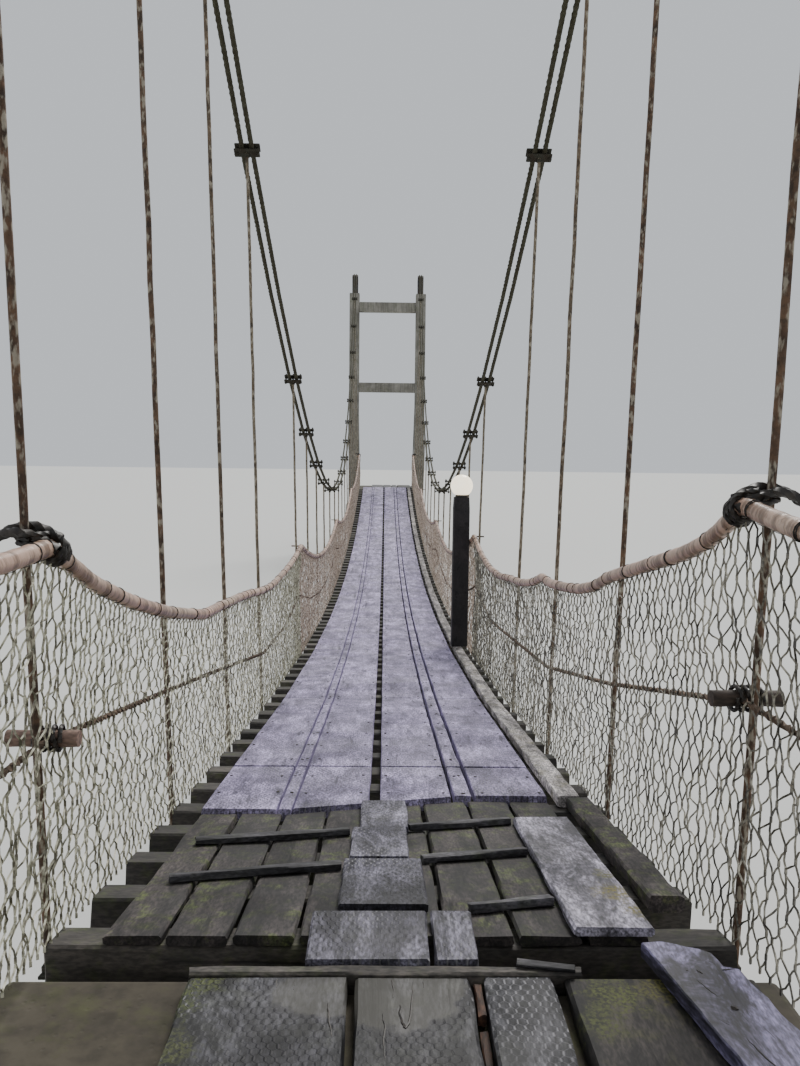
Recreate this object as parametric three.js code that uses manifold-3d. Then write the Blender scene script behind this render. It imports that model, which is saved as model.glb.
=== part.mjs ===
// Rope suspension footbridge. Twin wire ropes on each side carry steel hangers, and the hangers
// carry a timber deck between two net sides. Millimetres, +Z up. Y runs along the bridge, and the
// origin is on the floor under mid-span.
import * as THREE from "three";
import { mergeVertices } from "three/addons/utils/BufferGeometryUtils.js";
import Module from "manifold-3d";

const wasm = await Module();
wasm.setup();

// Clearances
const GAP = 0.3; // between pieces that touch
const BITE = 1; // how far a turned piece reaches into the one that it joins

// Bays: hangers stand at stations 0 to 20, and the towers at stations -1 and 21
const BAY = 1200;
const LAST = 20;
const MIDDLE = LAST / 2;
const MISSING_HANGER = 4;
const TIE_BAYS = 5; // the rail is tied to every fifth hanger
const HALF_SPAN = (MIDDLE + 1) * BAY;

// Main cables: two ropes side by side
const CABLE_LOW = 2380; // rope centre at mid-span
const CABLE_RISE = 6014; // from there to the tower line
const ROPE_RADIUS = 17.5;
const ROPE_PITCH = 60;
const ROPE_SIDES = 6;
const SPREAD_AT_EYE = 847; // half the distance between the left and right cables, 3 m up
const EYE_LEVEL = 3000;
const SPREAD_SLOPE = 0.026;
const STAY_ANGLE = (54 * Math.PI) / 180;
const STAY_FOOT = 760; // height at which a backstay meets its anchor block

// Clamps and hangers: a plate under the ropes and one over them, with a bolt between the ropes
const CLAMP = { x: 77.5, y: 30, plate: 12, bolt: 9, slack: 1.6 };
const ROD_RADIUS = 10;
const ROD_THREAD = 80; // threaded length at each end
const ROD_X = 815; // rod centre beside the sleeper ends
const FOOT = { inner: 730, outer: 831, y: 60, z: 8 };

// Deck
const DECK_LOW = 920;
const DECK_RISE = 980; // from mid-span to the first hanger
const PLANK = 45;
const SLEEPER = { half: 800, y: 120, z: 90 };
const SLEEPERS_PER_BAY = 4;
const BEARER = { inner: 600, outer: 680, z: 80 };
const RUNNING_BOARDS = [[-667, -78], [-38, 590], [628, 716]];
const BOARD_JOINT = 3; // half the joint between two boards' ends

// Near bay: thin old boards, with short repair boards, cleats and a kerb on them. Y is from the first hanger.
const OLD_BOARDS = [[-667, -78], [-38, 590]];
const OLD_TOP = -20; // under the level of the running boards
const REPAIR_TOP = 5; // over that level
const REPAIR_BOARDS = [
  { x: [-139, 85], y: [76, 441] },
  { x: [-128, 50], y: [459, 767] },
  { x: [-105, 57], y: [771, 1205] },
  { x: [411, 602], y: [-75, 895] },
];
const NEAR_KERB = { x: [652, 745], y: [150, 1205] };
const CLEAT = { width: 35, slope: 0.25, top: 3 }; // set askew on the old boards
const CLEATS = [
  { x: [190, 405], y: 20 },
  { x: [-600, -145], y: 433 },
  { x: [91, 405], y: 433 },
  { x: [-600, -134], y: 774 },
  { x: [62, 405], y: 774 },
];
const FLAPS = { x: [[-195, 77], [85, 184]], y: [-178, 22], z: [-22, 3] }; // level boards towards the landing

// Net sides, rail and middle rope
const SIDE_X = 790;
const NET = { thick: 8, pitch: 600, hole: 0.9, lift: 0.16 };
const RAIL_RADIUS = 22;
const RAIL_SIDES = 6;
const RAIL_TIE = 955; // above the deck at a tied hanger
const RAIL_SAG = 280;
const RAIL_AT_TOWER = 915; // above the landing
// How far each rail hangs off its even curve in the near bays, as [station, height]
const RAIL_WANDER = {
  left: [
    [-1, -20], [-0.2, -68], [0, -82], [0.5, -134], [1, -131], [1.5, -108], [2, -49], [2.5, -30], [3, -39],
    [4, -17], [5, 0],
  ],
  right: [
    [-1, 0], [0, 30], [0.5, -4], [1, 16], [1.5, 8], [2, 62], [2.5, 46], [3.5, 18], [4.5, 45], [5, 105],
    [6, 60], [8, 0],
  ],
};
const MIDDLE_ROPE_RADIUS = 7;
const MIDDLE_ROPE_SIDES = 5;
const MIDDLE_ROPE_DROP = 455; // under the rail
// How far each middle rope lies over that line in the near bays, as [station, height]
const MIDDLE_ROPE_LIFT = {
  left: [[0, 0], [1, 171], [2, 120], [3, 35], [4, 0]],
  right: [[0, 0], [1, 58], [2, 10], [3, 60], [4, 30], [5, 0]],
};
const TOGGLE = { radius: 7, length: 90 };
const LOG = { radius: 35, length: 130 };
const MIDDLE_LOG = { radius: 30, length: 120, reach: 50 }; // reach: inwards, through the near net

// Towers, saddles, abutments and anchor blocks
const LEG = { x: 1000, half: 150, top: 7700 };
const BEAM = { half: 140, low: 4900, high: 7300 };
const SADDLE = { radius: 350, half: 85, steps: 6, foot: 150 };
const ABUTMENT = { back: 14900, front: 12150, top: 1840 };
const ANCHOR = { half: 500, y: 640, depth: 350 };

// Landing boards, loose board and lamp
const LANDING_BOARDS = [[-440, -98], [-85, 161], [186, 336], [360, 770]];
const LANDING = { back: 14500, front: 12215, batten: [-440, 400], battenWidth: 34, battenTop: 8 };
const LOOSE_BOARD = { x: 150, y: 460, z: 35, cutX: 50, cutY: 100, at: [659, -12353], turn: 0.18 };
const LAMP = { x: 692, station: 5.25, half: 75, height: 1420, collar: 62, collarHeight: 24, globe: 105 };

// Colours
const paint = (color, roughness, metalness) => new THREE.MeshStandardMaterial({ color, roughness, metalness });
const WIRE_ROPE = paint(0x4a4438, 0.7, 0.6);
const TIMBER = paint(0x55525c, 0.65, 0);
const NET_TWINE = paint(0xbdb59a, 0.85, 0);
const SLEEVE = paint(0xc4b09a, 0.45, 0);
const RUSTY_ROPE = paint(0x5a3d2c, 0.85, 0.3);
const CONCRETE = paint(0x8c897f, 0.9, 0);
const CAST_STEEL = paint(0x4c4e50, 0.55, 0.7);
const BLACK_TIMBER = paint(0x1d1b1d, 0.5, 0);
const OPAL = new THREE.MeshStandardMaterial({ color: 0xfff6e6, roughness: 0.25, emissive: 0xfff0d0 });

// A curve through listed points, each used as it stands.
class PointCurve extends THREE.Curve {
  constructor(points) {
    super();
    this.points = points;
  }
  getUtoTmapping(u) {
    return u;
  }
  getPoint(t, target = new THREE.Vector3()) {
    const place = t * (this.points.length - 1);
    const i = Math.min(Math.floor(place), this.points.length - 2);
    return target.copy(this.points[i]).lerp(this.points[i + 1], place - i);
  }
  getTangent(t, target = new THREE.Vector3()) {
    const last = this.points.length - 1;
    const i = Math.round(t * last);
    const before = this.points[Math.max(i, 1)].clone().sub(this.points[Math.max(i, 1) - 1]).normalize();
    const j = Math.min(i, last - 1);
    const after = this.points[j + 1].clone().sub(this.points[j]).normalize();
    return target.copy(before.add(after).normalize());
  }
}

// Solids
function solid(geometry) {
  geometry.deleteAttribute("normal");
  geometry.deleteAttribute("uv");
  const merged = mergeVertices(geometry, 1e-3);
  const vertProperties = new Float32Array(merged.attributes.position.array);
  const triVerts = new Uint32Array(merged.index.array);
  return new wasm.Manifold(new wasm.Mesh({ numProp: 3, vertProperties, triVerts }));
}

function join(pieces) {
  return pieces.slice(1).reduce((sum, piece) => sum.add(piece), pieces[0]);
}

function box([x0, x1], [y0, y1], [z0, z1]) {
  const geometry = new THREE.BoxGeometry(1, 1, 1);
  const corners = geometry.attributes.position;
  for (let i = 0; i < corners.count; i++) {
    const [x, y, z] = [corners.getX(i), corners.getY(i), corners.getZ(i)];
    corners.setXYZ(i, x < 0 ? x0 : x1, y < 0 ? y0 : y1, z < 0 ? z0 : z1);
  }
  return solid(geometry);
}

function surface(body) {
  const made = body.getMesh();
  const geometry = new THREE.BufferGeometry();
  geometry.setAttribute("position", new THREE.BufferAttribute(new Float32Array(made.vertProperties), 3));
  geometry.setIndex(new THREE.BufferAttribute(new Uint32Array(made.triVerts), 1));
  return geometry;
}

const moved = (body, place) => solid(surface(body).applyMatrix4(place));

function ring(radius, sides, start) {
  const shape = new THREE.Shape();
  for (let i = 0; i < sides; i++) {
    const turn = start + (2 * Math.PI * i) / sides;
    const point = [radius * Math.cos(turn), radius * Math.sin(turn)];
    if (i) shape.lineTo(...point);
    else shape.moveTo(...point);
  }
  return shape;
}

function tube(points, radius, sides, start = 0) {
  const extrudePath = new PointCurve(points);
  const steps = points.length - 1;
  return solid(new THREE.ExtrudeGeometry(ring(radius, sides, start), { steps, extrudePath }));
}

// A closed outline of [x, y] points, from z0 to z1.
function slab(outline, [z0, z1]) {
  const shape = new THREE.Shape(outline.map(([x, y]) => new THREE.Vector2(x, y)));
  const geometry = new THREE.ExtrudeGeometry(shape, { depth: z1 - z0, bevelEnabled: false });
  geometry.translate(0, 0, z0);
  return solid(geometry);
}

// A closed outline of [y, z] points, with holes, from x0 to x1.
function plate(outline, [x0, x1], holes = []) {
  const toVector = ([y, z]) => new THREE.Vector2(y, z);
  const shape = new THREE.Shape(outline.map(toVector));
  shape.holes = holes.map((hole) => new THREE.Path(hole.map(toVector)));
  const geometry = new THREE.ExtrudeGeometry(shape, { depth: x1 - x0, bevelEnabled: false });
  const axes = [new THREE.Vector3(0, 1, 0), new THREE.Vector3(0, 0, 1), new THREE.Vector3(1, 0, 0)];
  geometry.applyMatrix4(new THREE.Matrix4().makeBasis(...axes));
  geometry.translate(x0, 0, 0);
  return solid(geometry);
}

const bridge = new THREE.Group();

function add(name, body, material, place = new THREE.Matrix4()) {
  const geometry = surface(body);
  geometry.computeVertexNormals();
  const mesh = new THREE.Mesh(geometry, material);
  mesh.name = name;
  mesh.applyMatrix4(place);
  bridge.add(mesh);
}

// Lines of the bridge
const stationY = (k) => (k - MIDDLE) * BAY;
const cableZ = (y) => CABLE_LOW + CABLE_RISE * (y / HALF_SPAN) ** 2;
const cableSlope = (y) => (2 * CABLE_RISE * y) / HALF_SPAN ** 2;
const cableX = (z) => SPREAD_AT_EYE + SPREAD_SLOPE * (z - EYE_LEVEL);

// Deck sections: one bay at each end, and two bays each between them
const JOINTS = [0];
for (let k = 1; k < LAST; k += 2) JOINTS.push(k);
JOINTS.push(LAST);
const jointZ = (k) => DECK_LOW + DECK_RISE * ((k - MIDDLE) / MIDDLE) ** 2;

function section(index) {
  const [from, to] = [JOINTS[index], JOINTS[index + 1]];
  const run = stationY(to) - stationY(from);
  const rise = jointZ(to) - jointZ(from);
  const turn = Math.atan2(rise, run);
  const place = new THREE.Matrix4().makeRotationX(turn).setPosition(0, stationY(from), jointZ(from));
  return { from, to, place, turn, length: Math.hypot(run, rise) };
}

const sectionAt = (k) => {
  const next = JOINTS.findIndex((joint) => joint > k);
  return section(next < 0 ? JOINTS.length - 2 : next - 1);
};

function deckZ(k) {
  const { from, to } = sectionAt(k);
  return jointZ(from) + ((jointZ(to) - jointZ(from)) * (k - from)) / (to - from);
}

// Rail: a parabola between two ties, hung under the straight line that joins them
const TIES = [-1];
for (let k = 0; k <= LAST; k += TIE_BAYS) TIES.push(k);
TIES.push(LAST + 1);
const tieZ = (k) => (k < 0 || k > LAST ? ABUTMENT.top + PLANK + RAIL_AT_TOWER : deckZ(k) + RAIL_TIE);

function wander(tables, side, k) {
  const table = side < 0 ? tables.left : tables.right;
  const next = table.findIndex(([station]) => station > k);
  if (next < 1) return 0;
  const [[before, low], [after, high]] = [table[next - 1], table[next]];
  return low + ((high - low) * (k - before)) / (after - before);
}

function railZ(side, y) {
  const k = y / BAY + MIDDLE;
  const next = Math.max(1, TIES.findIndex((tie) => tie >= k - 1e-9));
  const [from, to] = [TIES[next - 1], TIES[next]];
  const part = (k - from) / (to - from);
  const sag = RAIL_SAG * ((to - from) / TIE_BAYS) ** 2;
  return tieZ(from) + (tieZ(to) - tieZ(from)) * part - 4 * sag * part * (1 - part) + wander(RAIL_WANDER, side, k);
}

// Main ropes, each in one length from anchor block to anchor block
const ropeFlat = ROPE_RADIUS * Math.cos(Math.PI / ROPE_SIDES);
const BEND = SADDLE.radius + GAP + ropeFlat; // the rope's radius over a saddle

let spanAngle = Math.atan(cableSlope(HALF_SPAN));
for (let i = 0; i < 20; i++) spanAngle = Math.atan(cableSlope(HALF_SPAN - BEND * Math.sin(spanAngle)));
const saddleZ = cableZ(HALF_SPAN - BEND * Math.sin(spanAngle)) - BEND * Math.cos(spanAngle);
const saddleX = cableX(saddleZ + BEND);

// The [y, z] points of an arc over the far saddle, from the span to the backstay.
function saddleArc(radius) {
  const points = [];
  for (let i = 0; i <= SADDLE.steps; i++) {
    const turn = -spanAngle + ((spanAngle + STAY_ANGLE) * i) / SADDLE.steps;
    points.push([HALF_SPAN + radius * Math.sin(turn), saddleZ + radius * Math.cos(turn)]);
  }
  return points;
}

const stayTop = saddleArc(BEND).at(-1);
const stayFootY = stayTop[0] + (stayTop[1] - STAY_FOOT) / Math.tan(STAY_ANGLE);

function mainRope(side, offset) {
  const far = [...saddleArc(BEND), [stayFootY, STAY_FOOT]];
  const near = far.map(([y, z]) => [-y, z]).reverse();
  const span = [];
  for (let k = 0; k <= LAST; k++) span.push([stationY(k), cableZ(stationY(k))]);
  const points = [...near, ...span, ...far].map(([y, z]) => {
    const x = Math.abs(y) > HALF_SPAN - BEND ? saddleX : cableX(z);
    return new THREE.Vector3(side * (x + offset), y, z);
  });
  return tube(points, ROPE_RADIUS, ROPE_SIDES);
}

const SIDES = [["left", -1], ["right", 1]];
for (const [name, side] of SIDES) {
  add(`${name}_inner_main_rope`, mainRope(side, -ROPE_PITCH / 2), WIRE_ROPE);
  add(`${name}_outer_main_rope`, mainRope(side, ROPE_PITCH / 2), WIRE_ROPE);
}

// Hangers: a clamp on the ropes, and a rod down to a foot under a sleeper's end
function clamp() {
  const across = [-CLAMP.x, CLAMP.x];
  const along = [-CLAMP.y, CLAMP.y];
  const low = -ropeFlat - GAP;
  const high = ropeFlat + GAP + CLAMP.slack;
  const bolt = box([-CLAMP.bolt, CLAMP.bolt], [-CLAMP.bolt, CLAMP.bolt], [low, high]);
  return join([box(across, along, [low - CLAMP.plate, low]), bolt, box(across, along, [high, high + CLAMP.plate])]);
}

const FOOT_LEVEL = -PLANK - SLEEPER.z - FOOT.z / 2; // middle of a foot, in its deck section

// The place of a clamp on the ropes, and the two ends of the rod's centre line.
function rodLine(side, k) {
  const y = stationY(k);
  const { from, place, turn } = sectionAt(k);
  const seat = new THREE.Matrix4().makeRotationX(Math.atan(cableSlope(y)));
  seat.setPosition(side * cableX(cableZ(y)), y, cableZ(y));
  const along = (y - stationY(from) + FOOT_LEVEL * Math.sin(turn)) / Math.cos(turn);
  const bottom = new THREE.Vector3(side * ROD_X, along, FOOT_LEVEL).applyMatrix4(place);
  const top = new THREE.Vector3(0, 0, -ropeFlat - GAP - CLAMP.plate / 2).applyMatrix4(seat);
  return { seat, bottom, top };
}

function hanger(side, k, place) {
  const toSection = place.clone().invert();
  const { seat, bottom, top } = rodLine(side, k);
  bottom.applyMatrix4(toSection);
  top.applyMatrix4(toSection);
  const thread = top.clone().sub(bottom).setLength(ROD_THREAD);
  const rod = tube([bottom, bottom.clone().add(thread), top.clone().sub(thread), top], ROD_RADIUS, ROPE_SIDES);
  const reach = side > 0 ? [FOOT.inner, FOOT.outer] : [-FOOT.outer, -FOOT.inner];
  const level = -PLANK - SLEEPER.z;
  const foot = box(reach, [bottom.y - FOOT.y / 2, bottom.y + FOOT.y / 2], [level - FOOT.z, level]);
  return [foot, rod, moved(clamp(), seat.premultiply(toSection))];
}

// Deck sections: sleepers on two bearers, with running boards along them
function deckSection(index) {
  const { from, to, length } = section(index);
  const count = (to - from) * SLEEPERS_PER_BAY;
  const top = -PLANK;
  const bottom = top - SLEEPER.z;
  const across = [-SLEEPER.half, SLEEPER.half];
  const half = SLEEPER.y / 2;
  const isLast = index === JOINTS.length - 2;
  const pieces = [];
  for (let i = 0; i < count + (isLast ? 1 : 0); i++) {
    const y = (length * i) / count;
    // The board ends of the section before lie on the first half of the first sleeper.
    const lower = i === 0 && index > 0 ? 2 * GAP : 0;
    pieces.push(box(across, [y - half, y + half], [bottom, top - lower]));
  }
  for (const side of [-1, 1]) {
    const reach = side > 0 ? [BEARER.inner, BEARER.outer] : [-BEARER.outer, -BEARER.inner];
    const along = [-half, isLast ? length + half : length - half - BOARD_JOINT];
    pieces.push(box(reach, along, [bottom - BEARER.z, bottom]));
  }
  if (index === 0) return [...pieces, ...nearBoards()];
  const end = isLast ? length + half : length - BOARD_JOINT;
  for (const reach of RUNNING_BOARDS) pieces.push(box(reach, [BOARD_JOINT, end], [-PLANK - 2 * GAP, 0]));
  return pieces;
}

// The boards of the near bay, in its deck section's own frame.
function nearBoards() {
  const { length, turn } = section(0);
  const under = -PLANK - 2 * GAP;
  const base = OLD_TOP - BITE;
  const pieces = OLD_BOARDS.map((x) => box(x, [-SLEEPER.y / 2, length - BOARD_JOINT], [under, OLD_TOP]));
  pieces.push(box(NEAR_KERB.x, NEAR_KERB.y, [under, 0]));
  for (const { x, y } of REPAIR_BOARDS) pieces.push(box(x, y, [base, REPAIR_TOP]));
  for (const { x, y } of CLEATS) {
    const [near, far] = [0, CLEAT.width].map((step) => x.map((side) => [side, y + step + CLEAT.slope * side]));
    pieces.push(slab([...near, ...far.reverse()], [base, CLEAT.top]));
  }
  const level = new THREE.Matrix4().makeRotationX(-turn);
  for (const x of FLAPS.x) pieces.push(moved(box(x, FLAPS.y, FLAPS.z), level));
  return pieces;
}

for (let index = 0; index < JOINTS.length - 1; index++) {
  const frame = section(index);
  const pieces = deckSection(index);
  for (let k = frame.from; k < frame.to || k === LAST; k++) {
    if (k !== MISSING_HANGER) for (const [, side] of SIDES) pieces.push(...hanger(side, k, frame.place));
  }
  const name = [frame.from, frame.to].map((k) => String(k).padStart(2, "0")).join("_");
  add(`deck_section_${name}`, join(pieces), TIMBER, frame.place);
}

// Net panels, from the rail down to the sleepers
const NET_END = HALF_SPAN - LEG.half - 10;
const NET_SPLITS = [-NET_END, stationY(5), stationY(10), stationY(15), NET_END];

function netBottom(y) {
  const past = Math.max(0, Math.abs(y) - (HALF_SPAN - BAY)); // beyond the last sleeper, over the landing
  const k = Math.min(Math.max(y / BAY + MIDDLE, 0), LAST);
  return deckZ(k) - PLANK + 2 * GAP + NET.lift * Math.min(past, NET.pitch);
}

const netTop = (side, y) => railZ(side, y) - RAIL_RADIUS - GAP;

// Knots of the net's outline every half bay, with the ends of the panel.
function netKnots(from, to) {
  const knots = [from];
  const first = Math.ceil((from + 1) / NET.pitch) * NET.pitch;
  for (let y = first; y < to - 1; y += NET.pitch) knots.push(y);
  knots.push(to);
  return knots;
}

function shrink(points) {
  const middle = [0, 1].map((axis) => points.reduce((sum, point) => sum + point[axis], 0) / points.length);
  return points.map((point) => point.map((value, axis) => middle[axis] + NET.hole * (value - middle[axis])));
}

function netPanel(side, from, to) {
  const knots = netKnots(from, to);
  const low = knots.map((y) => [y, netBottom(y)]);
  const high = knots.map((y) => [y, netTop(side, y)]);
  const between = (a, b) => [(a[0] + b[0]) / 2, (a[1] + b[1]) / 2];
  const crossing = (i) => between(between(low[i], low[i + 1]), between(high[i], high[i + 1]));
  const holes = [];
  const last = knots.length - 1;
  for (let i = 0; i < last; i++) {
    holes.push(shrink([low[i], low[i + 1], crossing(i)]));
    holes.push(shrink([high[i], crossing(i), high[i + 1]]));
    if (i > 0) holes.push(shrink([crossing(i - 1), low[i], crossing(i), high[i]]));
  }
  holes.push(shrink([low[0], crossing(0), high[0]]));
  holes.push(shrink([crossing(last - 1), low[last], high[last]]));
  const outline = [...low, ...high.reverse()];
  const centre = side * SIDE_X;
  return plate(outline, [centre - NET.thick / 2, centre + NET.thick / 2], holes);
}

for (const [name, side] of SIDES) {
  for (let i = 0; i + 1 < NET_SPLITS.length; i++) {
    const [from, to] = [NET_SPLITS[i] + GAP, NET_SPLITS[i + 1] - GAP];
    add(`${name}_net_${i + 1}`, netPanel(side, from, to), NET_TWINE);
  }
}

// Rail and middle rope, with the short timber pieces that tie them to a hanger
function rodAt(side, k, z) {
  const { bottom, top } = rodLine(side, k);
  return bottom.lerp(top, (z - bottom.z) / (top.z - bottom.z));
}

function crossPiece(side, k, z, { radius, length, reach = 0 }) {
  const y = rodAt(side, k, z + radius).y + ROD_RADIUS + radius + 2 * GAP;
  const start = new THREE.Vector3(side * (SIDE_X + NET.thick / 2 + GAP - (k === 0 ? reach : 0)), y, z);
  const end = new THREE.Vector3(side * (SIDE_X + length), y, z);
  return tube([start, end], radius, 8);
}

const ROPE_END = HALF_SPAN - LEG.half - 5.2; // the slanted end of the rail just clears the leg

function rail(side) {
  const knots = netKnots(-NET_END, NET_END);
  const onSide = (y) => new THREE.Vector3(side * SIDE_X, y, railZ(side, y));
  const points = knots.map(onSide);
  for (const end of [-1, 1]) {
    const x = side * (LEG.x - LEG.half + RAIL_RADIUS + 20);
    const point = new THREE.Vector3(x, end * ROPE_END, railZ(side, end * NET_END));
    if (end < 0) points[0] = point;
    else points[points.length - 1] = point;
  }
  const pieces = [tube(points, RAIL_RADIUS, RAIL_SIDES, Math.PI / RAIL_SIDES)];
  for (const k of TIES.slice(1, -1)) {
    const isEnd = k === 0 || k === LAST;
    pieces.push(crossPiece(side, k, railZ(side, stationY(k)), isEnd ? LOG : TOGGLE));
  }
  return join(pieces);
}

function middleRope(side) {
  const points = [];
  for (let k = 0; k <= LAST; k++) {
    const z = railZ(side, stationY(k)) - MIDDLE_ROPE_DROP + wander(MIDDLE_ROPE_LIFT, side, k);
    const x = rodAt(side, k, z).x - side * (ROD_RADIUS + MIDDLE_ROPE_RADIUS + GAP);
    points.push(new THREE.Vector3(x, stationY(k), z));
  }
  const end = (way, z) => new THREE.Vector3(side * (LEG.x - LEG.half + 20), way * ROPE_END, z);
  points.unshift(end(-1, points[0].z));
  points.push(end(1, points.at(-1).z));
  const pieces = [tube(points, MIDDLE_ROPE_RADIUS, MIDDLE_ROPE_SIDES)];
  for (const k of [0, LAST]) {
    pieces.push(crossPiece(side, k, railZ(side, stationY(k)) - MIDDLE_ROPE_DROP, MIDDLE_LOG));
  }
  return join(pieces);
}

for (const [name, side] of SIDES) {
  add(`${name}_rail`, rail(side), SLEEVE);
  add(`${name}_middle_rope`, middleRope(side), RUSTY_ROPE);
}

// Towers: two legs and two beams, with a saddle on each leg
function saddle(side, end) {
  const arc = saddleArc(SADDLE.radius);
  const outline = [...arc, [HALF_SPAN + SADDLE.foot, LEG.top + GAP], [HALF_SPAN - SADDLE.foot, LEG.top + GAP]];
  const points = outline.map(([y, z]) => [end * y, z]);
  if (end > 0) points.reverse();
  return plate(points, [side * saddleX - SADDLE.half, side * saddleX + SADDLE.half]);
}

const inner = LEG.x - LEG.half;
for (const [place, end] of [["near", -1], ["far", 1]]) {
  const tower = [end * HALF_SPAN - LEG.half, end * HALF_SPAN + LEG.half];
  for (const [name, side] of SIDES) {
    const leg = [side * LEG.x - LEG.half, side * LEG.x + LEG.half];
    add(`${place}_tower_${name}_leg`, box(leg, tower, [0, LEG.top]), CONCRETE);
    add(`${place}_${name}_saddle`, saddle(side, end), CAST_STEEL);
  }
  for (const [name, z] of [["lower", BEAM.low], ["upper", BEAM.high]]) {
    const across = [-inner + GAP, inner - GAP];
    const depth = [end * HALF_SPAN - BEAM.half, end * HALF_SPAN + BEAM.half];
    add(`${place}_tower_${name}_beam`, box(across, depth, [z - BEAM.half, z + BEAM.half]), CONCRETE);
  }
}

// Abutments with the landing boards on them
for (const [place, end] of [["near", -1], ["far", 1]]) {
  const ends = ([front, back]) => [end * front, end * back].sort((a, b) => a - b);
  const depth = ends([ABUTMENT.front, ABUTMENT.back]);
  add(`${place}_abutment`, box([-inner + GAP, inner - GAP], depth, [0, ABUTMENT.top]), CONCRETE);
  const [low, high] = [ABUTMENT.top + GAP, ABUTMENT.top + PLANK];
  const boards = LANDING_BOARDS.map((x) => box(x, ends([LANDING.front, LANDING.back]), [low, high]));
  const batten = ends([LANDING.front - LANDING.battenWidth, LANDING.front + BITE]);
  boards.push(box(LANDING.batten, batten, [low, high + LANDING.battenTop]));
  add(`${place}_landing_boards`, join(boards), TIMBER);
}

// The loose board lies on the landing boards, and its far corner has broken off.
const loosePlace = new THREE.Matrix4().makeRotationZ(LOOSE_BOARD.turn);
loosePlace.setPosition(LOOSE_BOARD.at[0], LOOSE_BOARD.at[1], ABUTMENT.top + PLANK + GAP);
const halfX = LOOSE_BOARD.x / 2;
const halfY = LOOSE_BOARD.y / 2;
const broken = [[halfX, halfY - LOOSE_BOARD.cutY], [halfX - LOOSE_BOARD.cutX, halfY]];
const looseOutline = [[-halfX, -halfY], [halfX, -halfY], ...broken, [-halfX, halfY]];
add("loose_board", slab(looseOutline, [0, LOOSE_BOARD.z]), TIMBER, loosePlace);

// Anchor blocks, each with a face square to its backstay
function anchorBlock(side, end) {
  const face = [Math.cos(STAY_ANGLE), -Math.sin(STAY_ANGLE)]; // along the backstay, away from the tower
  const slope = [face[1], -face[0]]; // down the sloping face, towards the tower
  const middle = [stayFootY + GAP * face[0], STAY_FOOT + GAP * face[1]];
  const toFloor = (middle[1]) / -slope[1];
  const topPart = ANCHOR.depth;
  const outline = [
    [middle[0] + slope[0] * toFloor, 0],
    [middle[0] - slope[0] * topPart, middle[1] - slope[1] * topPart],
    [stayFootY + ANCHOR.y, middle[1] - slope[1] * topPart],
    [stayFootY + ANCHOR.y, 0],
  ];
  const points = outline.map(([y, z]) => [end * y, z]);
  return plate(points, [side * saddleX - ANCHOR.half, side * saddleX + ANCHOR.half]);
}

for (const [place, end] of [["near", -1], ["far", 1]]) {
  for (const [name, side] of SIDES) add(`${place}_${name}_anchor_block`, anchorBlock(side, end), CONCRETE);
}

// Lamp on a short post, beside the tied hanger
const lampSection = sectionAt(LAMP.station);
const lampAlong = (lampSection.length * (LAMP.station - lampSection.from)) / (lampSection.to - lampSection.from);
const lampSeat = new THREE.Vector3(0, lampAlong, 0).applyMatrix4(lampSection.place);
const lampTop = lampSeat.z + LAMP.height;
const postX = [LAMP.x - LAMP.half, LAMP.x + LAMP.half];
const seatZ = (offset) => lampSeat.z + GAP * 2 + offset * Math.tan(lampSection.turn);
const postSides = [-LAMP.half, LAMP.half];
const postOutline = [
  ...postSides.map((offset) => [lampSeat.y + offset, seatZ(offset)]),
  ...postSides.map((offset) => [lampSeat.y - offset, lampTop]),
];
add("lamp_post", plate(postOutline, postX), BLACK_TIMBER);

function turned(profile, z, sides) {
  const geometry = new THREE.LatheGeometry(profile.map(([x, y]) => new THREE.Vector2(x, y)), sides);
  geometry.rotateX(Math.PI / 2);
  geometry.translate(LAMP.x, lampSeat.y, z);
  return solid(geometry);
}

const collarZ = lampTop + GAP;
const collar = [[0, 0], [LAMP.collar, 0], [LAMP.collar, LAMP.collarHeight], [0, LAMP.collarHeight]];
add("lamp_collar", turned(collar, collarZ, 16), CAST_STEEL);

const globeFloor = Math.sqrt(LAMP.globe ** 2 - LAMP.collar ** 2);
const globeZ = collarZ + LAMP.collarHeight + GAP + globeFloor;
const globe = [[0, -globeFloor], [LAMP.collar, -globeFloor]];
for (let turn = -45; turn <= 75; turn += 15) {
  const angle = (turn * Math.PI) / 180;
  globe.push([LAMP.globe * Math.cos(angle), LAMP.globe * Math.sin(angle)]);
}
globe.push([0, LAMP.globe]);
add("lamp_globe", turned(globe, globeZ, 20), OPAL);

export default bridge;
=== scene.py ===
import math
import random

import bmesh
import bpy
import numpy as np
from bpy.props import FloatProperty, FloatVectorProperty, IntProperty, PointerProperty
from bpy.types import Operator, Panel, PropertyGroup
from mathutils import Matrix, Vector, noise


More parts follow.
